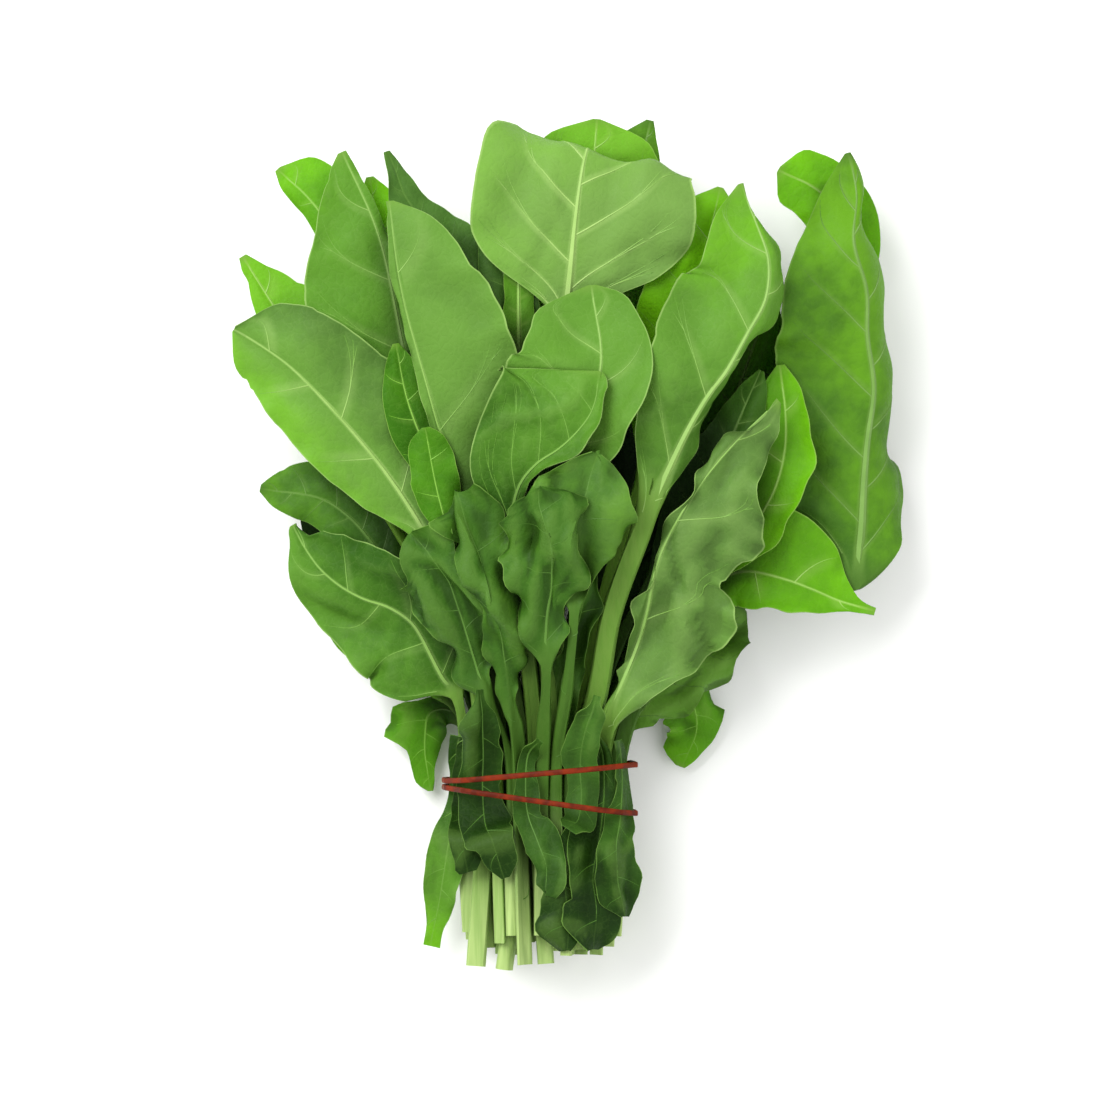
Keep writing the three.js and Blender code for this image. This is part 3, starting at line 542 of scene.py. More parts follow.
@dataclass
class Bed:
    """Heights of all that lies beneath the next leaf, on a fine grid.

    Attributes:
        cell: the grid's spacing, in mm.
        reach: half the width and half the length of the grid, in mm.
        gap: least clear height between two leaves, in mm.
        broad: over what distance the heights around a point count for its painted shade, in mm.
        deep: how deep a point lies where the painted shade starts and where it is full, in mm.
    """

    cell: float = 0.6
    reach: tuple[float, float] = (125.0, 155.0)
    gap: float = 0.12
    broad: float = 11.0
    deep: tuple[float, float] = (0.8, 11.0)

    def __post_init__(self) -> None:
        """Starts with the bare floor."""
        columns, rows = (int(2 * side / self.cell) + 1 for side in self.reach)
        self.heights = np.zeros((columns, rows))

    def cells(self, points: np.ndarray) -> tuple[np.ndarray, np.ndarray]:
        """Finds the grid's cell for each point."""
        columns, rows = self.heights.shape
        across = np.clip(np.rint((points[..., 0] + self.reach[0]) / self.cell).astype(int), 1, columns - 2)
        along = np.clip(np.rint((points[..., 1] + self.reach[1]) / self.cell).astype(int), 1, rows - 2)
        return across, along

    def lay(self, surface: np.ndarray) -> None:
        """Raises the bed to a surface given as rows of columns of points.

        Args:
            surface: the points, in mm.
        """
        steps = 4
        for i in range(steps):
            rows = surface[:-1] * (1 - i / steps) + surface[1:] * (i / steps)
            for j in range(steps):
                points = rows[:, :-1] * (1 - j / steps) + rows[:, 1:] * (j / steps)
                across, along = self.cells(points)
                np.maximum.at(self.heights, (across, along), points[..., 2])

    def lift(self, surface: np.ndarray) -> np.ndarray:
        """How far each point of a surface has to rise to lie clear of the bed.

        Args:
            surface: the lower side of the next leaf, rows of columns of points.

        Returns:
            The rise of each point, in mm, smoothed over its neighbours.
        """
        across, along = self.cells(surface)
        steps = (-1, 0, 1)
        below = np.max([self.heights[across + i, along + j] for i in steps for j in steps], axis=0)
        need = np.maximum(below + self.gap - surface[..., 2], 0)
        rise = need
        for _ in range(10):
            padded = np.pad(rise, 1, mode="edge")
            near = [padded[1 + i:padded.shape[0] - 1 + i, 1 + j:padded.shape[1] - 1 + j]
                    for i in steps for j in steps]
            rise = np.maximum(need, np.mean(near, axis=0))
        return rise

    def shade(self, points: np.ndarray) -> np.ndarray:
        """How deep points lie between the leaves around them, which sets the shade painted there.

        Args:
            points: rows of columns of points, in mm.

        Returns:
            From 0, in the open, to 1, deep down.
        """
        reach = round(self.broad / self.cell)
        blurred = self.heights
        for axis in (0, 1):
            edges = [(reach + 1, reach) if a == axis else (0, 0) for a in (0, 1)]
            total = np.cumsum(np.pad(blurred, edges, mode="edge"), axis=axis)
            size = blurred.shape[axis]
            ahead = np.take(total, range(2 * reach + 1, 2 * reach + 1 + size), axis=axis)
            blurred = (ahead - np.take(total, range(size), axis=axis)) / (2 * reach + 1)
        across, along = self.cells(points)
        return ease(blurred[across, along] - points[..., 2], *self.deep)


@dataclass(frozen=True)
class Tie:
    """Where the band holds the stems, so that the leaves keep flat there.

    Attributes:
        middle: the band's place along the bunch, in mm.
        tight: how far to each side the leaves keep to their solids, in mm.
        free: how far to each side they are free again, in mm.
    """

    middle: float = -79.94
    tight: float = 12.0
    free: float = 26.0

    def freedom(self, points: np.ndarray) -> np.ndarray:
        """How free points are to move: 0 under the band, 1 away from it."""
        return ease(np.abs(points[..., 1] - self.middle), self.tight, self.free)


@dataclass
class Leaf:
    """One leaf with its stem: a fine mesh on the form of its solid, with raised veins.

    Attributes:
        node: the CAD node that it stands for.
        form: how it is dressed.
        seed: starts the leaf's own random draws.
        blade_half: half the blade's thickness, in mm.
        row_step: spacing of the rows on the blade, in mm.
        stem_step: spacing of the rows on the stem, in mm.
        column_step: spacing of the columns, in mm.
        groove: depth of the groove along a stem's upper side, as a share of the stem's height.
        ridge: how far a point stands out where it counts in full as a ridge or a hollow, in mm.
        folded: how far a face still points its solid's way, as a cosine, before its row is smoothed.
        blade_starts: width of a row, as a share of its thickness, from which it belongs to the blade.
        bends: lengths of the blade's broad bends, in mm.
        margin_waves: lengths in mm and strengths of the margin's waves.
        fork_places: how far out forks leave a side vein, and how far they bend away from it.
        vein_run: how far a side vein runs towards the tip, in widths of its half, for a lean of 1.
        vein_bend: how much more it turns towards the tip near the margin.
        narrowest_veined: least width of a half that has side veins, in mm.
        narrowest_forked: least width of a half whose side veins fork, in mm.
    """

    node: str
    form: LeafForm
    seed: int
    blade_half: float = 0.16
    row_step: float = 1.7
    stem_step: float = 4.0
    column_step: float = 1.5
    groove: float = 0.16
    ridge: float = 0.45
    folded: float = 0.45
    blade_starts: float = 1.35
    bends: tuple[int, ...] = (60, 44, 30, 22)
    margin_waves: tuple[tuple[int, float], ...] = ((26, 1.0), (12, 0.45))
    fork_places: tuple[tuple[float, float], ...] = ((0.4, 0.6), (0.66, -0.55))
    vein_run: float = 3.4
    vein_bend: float = 0.35
    narrowest_veined: float = 5.0
    narrowest_forked: float = 17.0

    def __post_init__(self) -> None:
        """Reads the solid and lays the fine rows and columns; a turned leaf points past the cut ends."""
        self.draw = np.random.default_rng(self.seed)
        self.turned = self.node.startswith("tail_") or self.node == "tie_front"
        self.sheet = Sheet.of(self.node, self.turned)
        self.measure()
        self.lay()

    def measure(self) -> None:
        """Measures the solid: its rib's length, its widths, and where its blade starts."""
        middle, half = self.sheet.middle, self.sheet.half
        rib = middle.shape[1] // 2
        steps = np.linalg.norm(np.diff(middle[:, rib], axis=0), axis=1)
        self.rib_at = np.concatenate([[0], np.cumsum(steps)])
        reach = np.linalg.norm(np.diff(middle, axis=1), axis=2)
        self.widths = reach.sum(axis=1)
        self.thick = 2 * np.linalg.norm(half[:, rib], axis=1)
        slender = self.widths / self.thick
        if self.turned:
            self.base_at = 0.0
            self.bladed = np.ones_like(slender)
        else:
            first = int(np.argmax(slender > self.blade_starts))
            self.base_at = self.rib_at[max(first - 1, 0)]
            self.bladed = ease(slender, 1.1, 3.0)
        self.length = self.rib_at[-1] - self.base_at
        spread = reach[slender > 3].mean(axis=0) if (slender > 3).any() else reach.mean(axis=0)
        places = np.concatenate([[0], np.cumsum(spread)])
        self.column_at = 2 * places / places[-1] - 1
        self.column_at -= self.column_at[rib]

    def lay(self) -> None:
        """Lays the fine rows and columns over the solid's own."""
        fine = self.form.fine
        on_blade = max(14, round(self.length / self.row_step * fine))
        on_stem = max(1, round(self.base_at / self.stem_step))
        places = np.concatenate([
            np.linspace(0, self.base_at, on_stem, endpoint=False) if self.base_at > 0 else [],
            np.linspace(self.base_at, self.rib_at[-1], on_blade),
        ])
        half_count = int(np.clip(round(self.widths.max() / self.column_step * fine / 2), 6, 17))
        left, right = self.column_at[0], self.column_at[-1]
        share = np.linspace(0, 1, half_count + 1) ** 1.2
        self.q = np.concatenate([left * share[:0:-1], right * share])
        self.u = np.where(self.q < 0, -self.q / left, self.q / right)
        down = weights(self.rib_at, places)
        over = weights(self.column_at, self.q)
        self.middle = np.einsum("ir,jc,rcx->ijx", down, over, self.sheet.middle)
        self.face = unit(np.einsum("ir,jc,rcx->ijx", down, over, self.sheet.half))
        self.rib_half = np.interp(places, self.rib_at, self.thick / 2)
        self.blade = np.interp(places, self.rib_at, self.bladed)
        self.t = (places - self.base_at) / self.length
        self.places = places
        self.from_rib = self.out_from_rib()

    def out_from_rib(self) -> np.ndarray:
        """Distance of each point from the rib over the sheet, negative on the left, in mm."""
        steps = np.linalg.norm(np.diff(self.middle, axis=1), axis=2)
        rib = len(self.q) // 2
        out = np.concatenate([np.zeros((len(self.places), 1)), np.cumsum(steps, axis=1)], axis=1)
        return out - out[:, rib:rib + 1]

    def rib_size(self, t: np.ndarray) -> np.ndarray:
        """Half the width of the rib at places along the blade, in mm."""
        root = 0.5 * float(self.thick[0]) if not self.turned else 1.1
        size = (0.3 + 0.42 * root * np.clip(1 - t, 0, 1) ** 1.4) * min(1.0, 0.5 + 0.6 * self.form.vein)
        return np.minimum(size, np.interp(t, self.t, self.rib_half))

    def ladder(self, u: np.ndarray, t: np.ndarray) -> np.ndarray:
        """Counts the side veins along the blade: a whole number on each vein.

        Args:
            u: place across, from -1 at the left margin to 1 at the right.
            t: place along the blade, from 0 to 1.

        Returns:
            The count, with the two halves half a step apart.
        """
        return (t - self.run(u)) * self.form.veins + np.where(u > 0, 0.5, 0.0)

    def half_widths(self) -> np.ndarray:
        """Width of the left and of the right half where they are broad, in mm."""
        return np.array([np.percentile(-self.from_rib[:, 0], 80), np.percentile(self.from_rib[:, -1], 80)])

    def run(self, u: np.ndarray) -> np.ndarray:
        """How far a side vein has run towards the tip at places across, as a share of the blade."""
        left, right = self.half_widths()
        width = np.where(u < 0, left, right)
        out = np.abs(u)
        bent = (out + self.vein_bend * out ** 2) / (1 + self.vein_bend)
        return self.vein_run * self.form.lean * width / self.length * bent

    def margin_steps(self) -> np.ndarray:
        """How far the margin lies in or out at each row, for the left and the right half, in mm."""
        sides = []
        for _ in range(2):
            count = max(4, int(self.length / self.draw.uniform(9, 14)))
            knots = np.sort(self.draw.uniform(0, 1, count))
            heights = self.draw.uniform(-1, 0.8, count)
            coarse = np.interp(self.t, knots, heights)
            fine = np.interp(self.t, np.linspace(0, 1, count * 3), self.draw.uniform(-0.3, 0.3, count * 3))
            sides.append((coarse + fine) * self.form.ragged * ease(self.t, 0.0, 0.2) * self.blade)
        return np.array(sides)

    def roughen(self) -> None:
        """Moves the margins in and out, and the columns inside them in step."""
        rib = len(self.q) // 2
        steps = self.margin_steps()
        out = np.abs(self.u)
        for side, columns in ((0, slice(0, rib)), (1, slice(rib + 1, None))):
            away = self.middle[:, columns] - self.middle[:, rib:rib + 1]
            width = np.linalg.norm(away[:, 0 if side == 0 else -1], axis=-1)
            move = np.maximum(steps[side], -0.25 * width)[:, None] * out[columns] ** 1.5
            if side == 0:
                ends = ease(self.t, 0.0, 0.12) * ease(self.t, 1.0, 0.8) * self.blade
                move = move - ((1 - self.form.left) * ends * width)[:, None] * out[columns]
            self.middle[:, columns] += unit(away) * move[..., None]
        self.from_rib = self.out_from_rib()

    def nudge(self) -> None:
        """Makes the small moves of the outline."""
        for move in self.form.nudges:
            away = np.linalg.norm(self.middle[..., :2] - np.array(move.place), axis=-1)
            share = np.exp(-(away / move.reach) ** 2) * self.blade[:, None]
            self.middle += share[..., None] * np.array(move.shift)

    def relax(self) -> None:
        """Smooths the sheet where its rows bunch up, and turns its faces square to it."""
        for _ in range(3):
            turn = self.square()
            order = np.sum(turn * self.face, axis=-1)
            worst = (order < self.folded).astype(float) * self.blade[:, None]
            if not worst.any():
                break
            for _ in range(8):
                worst = np.maximum(worst, 0.93 * self.near(worst[..., None])[..., 0])
            for _ in range(25):
                share = 0.7 * worst[..., None]
                self.middle = self.middle * (1 - share) + self.near(self.middle) * share
        blade = self.blade[:, None, None]
        self.face = unit(self.face * (1 - blade) + self.square() * blade)
        self.from_rib = self.out_from_rib()

    @staticmethod
    def near(grid: np.ndarray) -> np.ndarray:
        """Mean of each grid point and the eight round it."""
        padded = np.pad(grid, ((1, 1), (1, 1), (0, 0)), mode="reflect", reflect_type="odd")
        rows, columns = grid.shape[:2]
        return sum(padded[i:i + rows, j:j + columns] for i in range(3) for j in range(3)) / 9

    def square(self) -> np.ndarray:
        """The way out of the sheet's upper side at each point."""
        turn = np.cross(np.gradient(self.middle, axis=1), np.gradient(self.middle, axis=0))
        sign = np.sign(np.median(np.sum(turn * self.face, axis=-1)))
        return unit(turn * sign)

    def creasing(self) -> np.ndarray:
        """Height of sharp creases that fan out from the base, in mm."""
        along = (self.t * self.length)[:, None]
        height = np.zeros_like(self.from_rib)
        half_width = np.abs(self.from_rib).max()
        for _ in range(self.form.creases):
            start = self.draw.uniform(-0.8, 0.8) * half_width
            slope = self.draw.normal(0, 0.28)
            width = self.draw.uniform(3, 8)
            strength = self.draw.uniform(0.5, 1) * self.draw.choice([-1, 1])
            middle = self.draw.uniform(0.15, 0.9) * self.length
            reach = self.draw.uniform(0.2, 0.45) * self.length
            bend = self.draw.uniform(-1, 1) * 0.004
            distance = self.from_rib - start - slope * (along - middle) - bend * (along - middle) ** 2
            fold = np.maximum(0, 1 - np.sqrt((distance / width) ** 2 + 0.012))
            height += strength * fold * np.exp(-((along - middle) / reach) ** 2)
        return self.form.crease * height * ease(self.t, 0.02, 0.2)[:, None]

    def billows(self) -> np.ndarray:
        """Height of the blade's broad bends, in mm."""
        along = (self.t * self.length)[:, None]
        height = np.zeros_like(self.from_rib)
        for size in self.bends:
            turn, phase = self.draw.uniform(0, np.pi), self.draw.uniform(0, 2 * np.pi)
            run = self.from_rib * math.cos(turn) + along * math.sin(turn)
            height += np.sin(2 * np.pi * run / size + phase) * (size / self.bends[0]) ** 0.8
        away = ease(np.abs(self.from_rib), 0.0, 14.0)
        return self.form.billow * height * (0.35 + 0.65 * away) * ease(self.t, 0.0, 0.25)[:, None] / 1.6

    def waves(self, u: np.ndarray, t: np.ndarray) -> np.ndarray:
        """Height of the blade's own swelling and waving over the solid's smooth sheet, in mm."""
        out = np.abs(u)
        swell = np.sin(np.pi * self.ladder(u, t)) ** 2
        pucker = self.form.pucker * swell * ease(out, 0.03, 0.3) * (1 - 0.6 * out ** 3)
        wave = np.zeros_like(u)
        for size, strength in self.margin_waves:
            turns = self.length / size
            for side in (-1, 1):
                phase = self.draw.uniform(0, 2 * np.pi)
                line = np.sin(2 * np.pi * turns * t + phase)
                wave += np.where(u * side > 0, strength * line, 0)
        ends = ease(t, 0.0, 0.25) * ease(t, 1.0, 0.9)
        margin = self.form.ruffle * wave * out ** 3
        return (pucker + margin) * ends + self.creasing() + self.billows()

    def settle(self, bed: Bed, tie: Tie) -> None:
        """Shapes the sheet, lifts it clear of what lies beneath, and lays it on the bed.

        Args:
            bed: what lies beneath.
            tie: where the leaves keep to their solids.
        """
        rows, columns = self.middle.shape[:2]
        self.roughen()
        self.nudge()
        self.relax()
        u = np.broadcast_to(self.u, (rows, columns))
        t = np.broadcast_to(self.t[:, None], (rows, columns))
        blade = self.blade[:, None]
        free = tie.freedom(self.middle) * blade
        self.centre = self.middle + self.face * (self.waves(u, t) * free)[..., None]
        round_half = self.rib_half[:, None] * np.sqrt(1 - np.minimum(np.abs(u), 0.995) ** 2)
        grooved = 1 - self.groove * np.exp(-(u / 0.4) ** 2)
        self.top_half = (1 - blade) * round_half * grooved + blade * self.blade_half
        self.low_half = (1 - blade) * round_half + blade * self.blade_half
        low = self.centre - self.face * self.low_half[..., None]
        self.centre[..., 2] += bed.lift(low) * free
        bed.lay(self.centre + self.face * self.top_half[..., None])

    def tones(self, u: np.ndarray, t: np.ndarray) -> np.ndarray:
        """How light the leaf is at each point, up to the painted glow of light coming through."""
        form = self.form
        return form.tone + form.tipward * (t - 0.5) + form.rightward * u * 0.5

    def blade_mesh(self, bed: Bed) -> tuple[np.ndarray, list[tuple[int, ...]], dict[str, np.ndarray]]:
        """Makes the closed skin of the leaf.

        Args:
            bed: the heights of the whole bunch.

        Returns:
            Its points in mm, its faces, and the numbers that each point carries.
        """
        rows, columns = self.middle.shape[:2]
        u = np.broadcast_to(self.u, (rows, columns))
        t = np.broadcast_to(self.t[:, None], (rows, columns))
        top = self.centre + self.face * self.top_half[..., None]
        low = self.centre - self.face * self.low_half[..., None]
        points = np.concatenate([top.reshape(-1, 3), low.reshape(-1, 3)])
        carried = {
            "across": u, "blade": np.broadcast_to(self.blade[:, None], u.shape),
            "rib": np.abs(self.from_rib) / self.rib_size(t), "ladder": self.ladder(u, t),
            "tone": self.tones(u, t), "dull": np.full(u.shape, self.form.dull),
            "cut": np.broadcast_to(self.places[:, None] if not self.turned else 99.0, u.shape),
            "fade": np.zeros(u.shape), "wire": np.zeros(u.shape), "girth": np.zeros(u.shape),
            "strength": np.full(u.shape, self.form.vein), "rise": self.rise(),
        }
        numbers = {name: np.tile(values.ravel(), 2) for name, values in carried.items()}
        # Painted shade from the depth between the leaves, weaker on the lower side.
        shade = bed.shade(top) * self.form.shaded
        numbers["shade"] = np.concatenate([shade.ravel(), 0.3 * shade.ravel()])
        numbers["under"] = np.repeat([0.0, 1.0], rows * columns)
        return points, self.faces(rows, columns), numbers

    def rise(self) -> np.ndarray:
        """How far each point stands out from the sheet around it, from -1, in a hollow, to 1, for the
        painted shade in hollows and painted highlight on ridges.
        """
        height = self.centre[..., 2:]
        broad = height
        for _ in range(5):
            broad = self.near(broad)
        share = np.clip((height - broad)[..., 0] / self.ridge, -1, 1)
        return share * self.blade[:, None] * self.form.relief

    @staticmethod
    def faces(rows: int, columns: int) -> list[tuple[int, ...]]:
        """Faces of a closed sheet with an upper and a lower grid of points.

        Args:
            rows: rows of points on each side.
            columns: columns of points on each side.

        Returns:
            The faces, outwards.
        """
        low = rows * columns
        faces: list[tuple[int, ...]] = []
        for r in range(rows - 1):
            for c in range(columns - 1):
                a = r * columns + c
                b, d = a + 1, a + columns
                faces.append((a, b, d + 1, d))
                faces.append((low + a, low + d, low + d + 1, low + b))
            for c, flip in ((0, False), (columns - 1, True)):
                a, d = r * columns + c, (r + 1) * columns + c
                wall = (a, d, low + d, low + a)
                faces.append(wall[::-1] if flip else wall)
        for r, flip in ((0, True), (rows - 1, False)):
            for c in range(columns - 1):
                a = r * columns + c
                wall = (a, a + 1, low + a + 1, low + a)
                faces.append(wall[::-1] if flip else wall)
        return faces

    def on_blade(self, u: np.ndarray, t: np.ndarray, share: float) -> np.ndarray:
        """Points of the blade at places across and along it.

        Args:
            u: places across.
            t: places along.
            share: from the middle of the sheet, 0, to its upper side, 1.

        Returns:
            The points, in mm.
        """
        row = np.interp(t, self.t, np.arange(len(self.t)))
        column = np.interp(u, self.u, np.arange(len(self.u)))
        r = np.minimum(row.astype(int), len(self.t) - 2)
        c = np.minimum(column.astype(int), len(self.u) - 2)
        fr, fc = (row - r)[:, None], (column - c)[:, None]
        grid = self.centre + self.face * (self.top_half * share)[..., None]
        first = grid[r, c] * (1 - fc) + grid[r, c + 1] * fc
        second = grid[r + 1, c] * (1 - fc) + grid[r + 1, c + 1] * fc
        return first * (1 - fr) + second * fr

    def vein_lines(self) -> list[tuple[np.ndarray, np.ndarray, np.ndarray]]:
        """Lays the rib, the side veins and their forks over the blade.

        Returns:
            For each its points in mm, its radius and how pale it is along it.
        """
        t = np.linspace(0.0, 0.97, max(20, round(self.length / 2)))
        rib = self.on_blade(np.zeros_like(t), t, 0.0)
        size = self.rib_size(t) * (0.35 + 0.65 * ease(t, 0.0, 0.1))
        lines = [(rib, size, (1 - 0.35 * t) * min(1, 0.12 + 0.95 * self.form.vein))]
        for side, width in zip((-1, 1), self.half_widths()):
            if width < self.narrowest_veined:
                continue
            offset = 0.0 if side < 0 else 0.5
            for count in range(-1, self.form.veins + 1):
                start = (count - offset + self.draw.uniform(-0.06, 0.06)) / self.form.veins
                lines.append(self.vein(side, start, 0.0, self.draw.uniform(0.84, 0.95), 0.3))
                if not self.form.forks or width < self.narrowest_forked:
                    continue
                for fork, tilt in self.fork_places:
                    bend = tilt * self.draw.uniform(0.6, 1.2)
                    first = fork + self.draw.uniform(-0.08, 0.08)
                    lines.append(self.vein(side, start, first, 0.88, 0.2, bend))
        return [line for line in lines if line is not None]

    def vein(self, side: int, start: float, first: float, last: float, radius: float,
             tilt: float = 0.0) -> tuple[np.ndarray, np.ndarray, np.ndarray] | None:
        """Lays one vein.

        Args:
            side: -1 for the left half, 1 for the right.
            start: where its line leaves the rib, as a share of the blade.
            first: where it starts, from 0 at the rib to 1 at the margin.
            last: where it ends.
            radius: at its start, in mm.
            tilt: how far a fork bends away towards the tip, or back where negative.

        Returns:
            Its points, radius and paleness, or nothing if it misses the blade.
        """
        out = np.linspace(first, last, 18 if tilt == 0 else 10)
        run = self.run(side * out)
        t = start + run * (1 + tilt * (out - first))
        keep = (t > 0.06) & (t < 0.965)
        if keep.sum() < 4:
            return None
        out, t = out[keep], t[keep]
        points = self.on_blade(side * out, t, 1.0)
        run = np.linspace(0, 1, len(out))
        size = radius * (0.55 + 0.5 * self.form.vein) * (1 - 0.72 * run)
        points[:, 2] -= 0.25 * size
        pale = min(1, self.form.vein) * (1.0 if tilt == 0 else 0.6) * (1 - run) ** 0.8
        return points, size, pale

    def build(self, dress: "LeafDress", bed: Bed) -> bpy.types.Object:
        """Makes the finished leaf.

        Args:
            dress: the node tree and materials.
            bed: the heights of the whole bunch.

        Returns:
            The piece.
        """
        points, faces, numbers = self.blade_mesh(bed)
        lines = self.vein_lines()
        edges = []
        count = len(points)
        for line, _, _ in lines:
            edges += [(count + i, count + i + 1) for i in range(len(line) - 1)]
            count += len(line)
        points = np.concatenate([points, *(line[0] for line in lines)])
        extra = count - len(numbers["under"])
        for name, values in numbers.items():
            numbers[name] = np.concatenate([values, np.zeros(extra)])
        numbers["wire"][-extra:] = 1
        numbers["girth"][-extra:] = np.concatenate([line[1] for line in lines])
        numbers["fade"][-extra:] = np.concatenate([line[2] for line in lines])
        # Painted shade on the raised veins as well.
        numbers["shade"][-extra:] = bed.shade(points[-extra:]) * self.form.shaded
        slot = SLOTS[self.node]
        mesh = bpy.data.meshes.new(self.node + "_leaf")
        mesh.from_pydata((points * MM).tolist(), edges, faces)
        for name, values in numbers.items():
            carried = mesh.attributes.new(name, "FLOAT", "POINT")
            carried.data.foreach_set("value", values.astype(np.float32))
        mesh.materials.append(dress.leaves[slot])
        mesh.update()
        piece = bpy.data.objects.new(self.node + "_leaf", mesh)
        bpy.context.scene.collection.objects.link(piece)
        dress.grow_veins(piece, slot)
        piece.data.shade_smooth()
        piece.data.set_sharp_from_angle(angle=math.radians(55))
        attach(piece, BODY)
        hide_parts(self.node)
        return piece


def group_input(tree: bpy.types.NodeTree, name: str, kind: str, value: Any = None) -> str:
    """Adds a named input to a geometry tree and returns its identifier."""
    item = tree.interface.new_socket(name, in_out="INPUT", socket_type=kind)
    if value is not None:
        item.default_value = value
    return item.identifier


def applied(piece: bpy.types.Object, tree: bpy.types.NodeTree, inputs: dict[str, Any]) -> bpy.types.Object:
    """Runs a geometry tree on a piece and keeps the plain mesh.

    Args:
        piece: the object with the tree's starting mesh.
        tree: the geometry tree.
        inputs: a value for each input's identifier.

    Returns:
        The same piece with the new mesh and no modifier.
    """
    modifier = piece.modifiers.new(tree.name, "NODES")
    modifier.node_group = tree
    for identifier, value in inputs.items():
        modifier[identifier] = value
    graph = bpy.context.evaluated_depsgraph_get()
    mesh = bpy.data.meshes.new_from_object(piece.evaluated_get(graph), preserve_all_data_layers=True,
                                           depsgraph=graph)
    piece.modifiers.clear()
    old = piece.data
    piece.data = mesh
    mesh.name = piece.name
    bpy.data.meshes.remove(old)
    return piece


class LeafDress:
    """The leaves' finishes, and the tree that turns vein lines into raised veins."""

    def __init__(self) -> None:
        """Makes the materials and the tree."""
        self.leaves = {slot: finish.build() for slot, finish in FINISHES.items()}
        self.veins = {slot: finish.build() for slot, finish in VEIN_FINISHES.items()}
        self.tree = bpy.data.node_groups.new("raised_veins", "GeometryNodeTree")
        self.inputs: dict[str, str] = {}
        self.plant()

    def plant(self) -> None:
        """Builds the tree: wires become tapered round veins, and the blade passes through."""
        tree = self.tree
        group_input(tree, "Geometry", "NodeSocketGeometry")
        self.inputs["sides"] = group_input(tree, "Sides", "NodeSocketInt", 5)
        self.inputs["scale"] = group_input(tree, "Vein size", "NodeSocketFloat", 1.0)
        self.inputs["material"] = group_input(tree, "Vein material", "NodeSocketMaterial")
        tree.interface.new_socket("Geometry", in_out="OUTPUT", socket_type="NodeSocketGeometry")
        graph = Graph(tree)
        given = graph.add("NodeGroupInput").outputs
        wire = graph.add("GeometryNodeInputNamedAttribute", {"Name": "wire"}, data_type="FLOAT")
        girth = graph.add("GeometryNodeInputNamedAttribute", {"Name": "girth"}, data_type="FLOAT")
        chosen = graph.add("FunctionNodeCompare", {0: wire.outputs[0], 1: 0.5}, data_type="FLOAT",
                           operation="GREATER_THAN")
        apart = graph.add("GeometryNodeSeparateGeometry", {0: given["Geometry"], 1: chosen.outputs[0]},
                          domain="POINT")
        curves = graph.add("GeometryNodeMeshToCurve", {0: apart.outputs[0]})
        thick = graph.maths("MULTIPLY", girth.outputs[0], given["Vein size"])
        sized = graph.add("GeometryNodeSetCurveRadius", {"Curve": curves.outputs[0], "Radius": thick})
        ring = graph.add("GeometryNodeCurvePrimitiveCircle", {"Resolution": given["Sides"], "Radius": MM})
        tubes = graph.add("GeometryNodeCurveToMesh", {
            "Curve": sized.outputs[0], "Profile Curve": ring.outputs[0], "Fill Caps": True,
        })
        if "Scale" in tubes.inputs:
            radius = graph.add("GeometryNodeInputRadius")
            self.tree.links.new(radius.outputs[0], tubes.inputs["Scale"])
        finish = {0: tubes.outputs[0], "Material": given["Vein material"]}
        painted = graph.add("GeometryNodeSetMaterial", finish)
        joined = graph.add("GeometryNodeJoinGeometry", {0: apart.outputs[1]})
        tree.links.new(painted.outputs[0], joined.inputs[0])
        real = graph.add("GeometryNodeRealizeInstances", {0: joined.outputs[0]})
        graph.add("NodeGroupOutput", {0: real.outputs[0]})

    def grow_veins(self, piece: bpy.types.Object, slot: Slot) -> None:
        """Turns a leaf's wires into raised veins in its slot's colours."""
        values = {"sides": 5, "scale": 1.0, "material": self.veins[slot]}
        applied(piece, self.tree, {self.inputs[name]: value for name, value in values.items()})


SLOTS: dict[str, Slot] = {
    part["node"]: Slot(part["material_slot"]) for part in frame["record"]["subparts"]
}
FINISHES: dict[Slot, LeafFinish] = {
    Slot.DARK: LeafFinish("leaf_dark_green", deep=0x1A3508, light=0x39621A, glow=0x5C921A, dull=0x537738,
                          vein=0x6E9441, through=0.12, stem=0x456923),
    Slot.MIDDLE: LeafFinish("leaf_middle_green", deep=0x2F5911, light=0x578928, glow=0x65A614,
                            dull=0x7B9C53, vein=0x94B764, through=0.18, stem=0x6B923A),
    Slot.BRIGHT: LeafFinish("leaf_bright_green", deep=0x376D0D, light=0x599818, glow=0x72BC11,
                            dull=0x769F41, vein=0x96C055, through=0.28, stem=0x729D38),
}
VEIN_FINISHES: dict[Slot, VeinFinish] = {
    Slot.DARK: VeinFinish("vein_dark_green", 0x779D4C, 0x3E671D),
    Slot.MIDDLE: VeinFinish("vein_middle_green", 0x9CBA6B, 0x5E8F2E),
    Slot.BRIGHT: VeinFinish("vein_bright_green", 0x9DC165, 0x649F24),
}
HIDDEN = LeafForm(fine=0.6, tone=0.1, forks=False, pucker=0.4, ruffle=0.5)
WILTED = LeafForm(tone=0.2, relief=0.9, pucker=0.1, ruffle=2.6, ragged=4.0, crease=3.6, creases=16,
                  billow=1.4, veins=4, vein=0.16, forks=False)
TAIL = LeafForm(tone=0.1, relief=0.8, tipward=-0.2, pucker=0.1, ruffle=1.0, ragged=2.6, crease=1.8,
                creases=10, billow=0.9, veins=4, vein=0.12, forks=False)
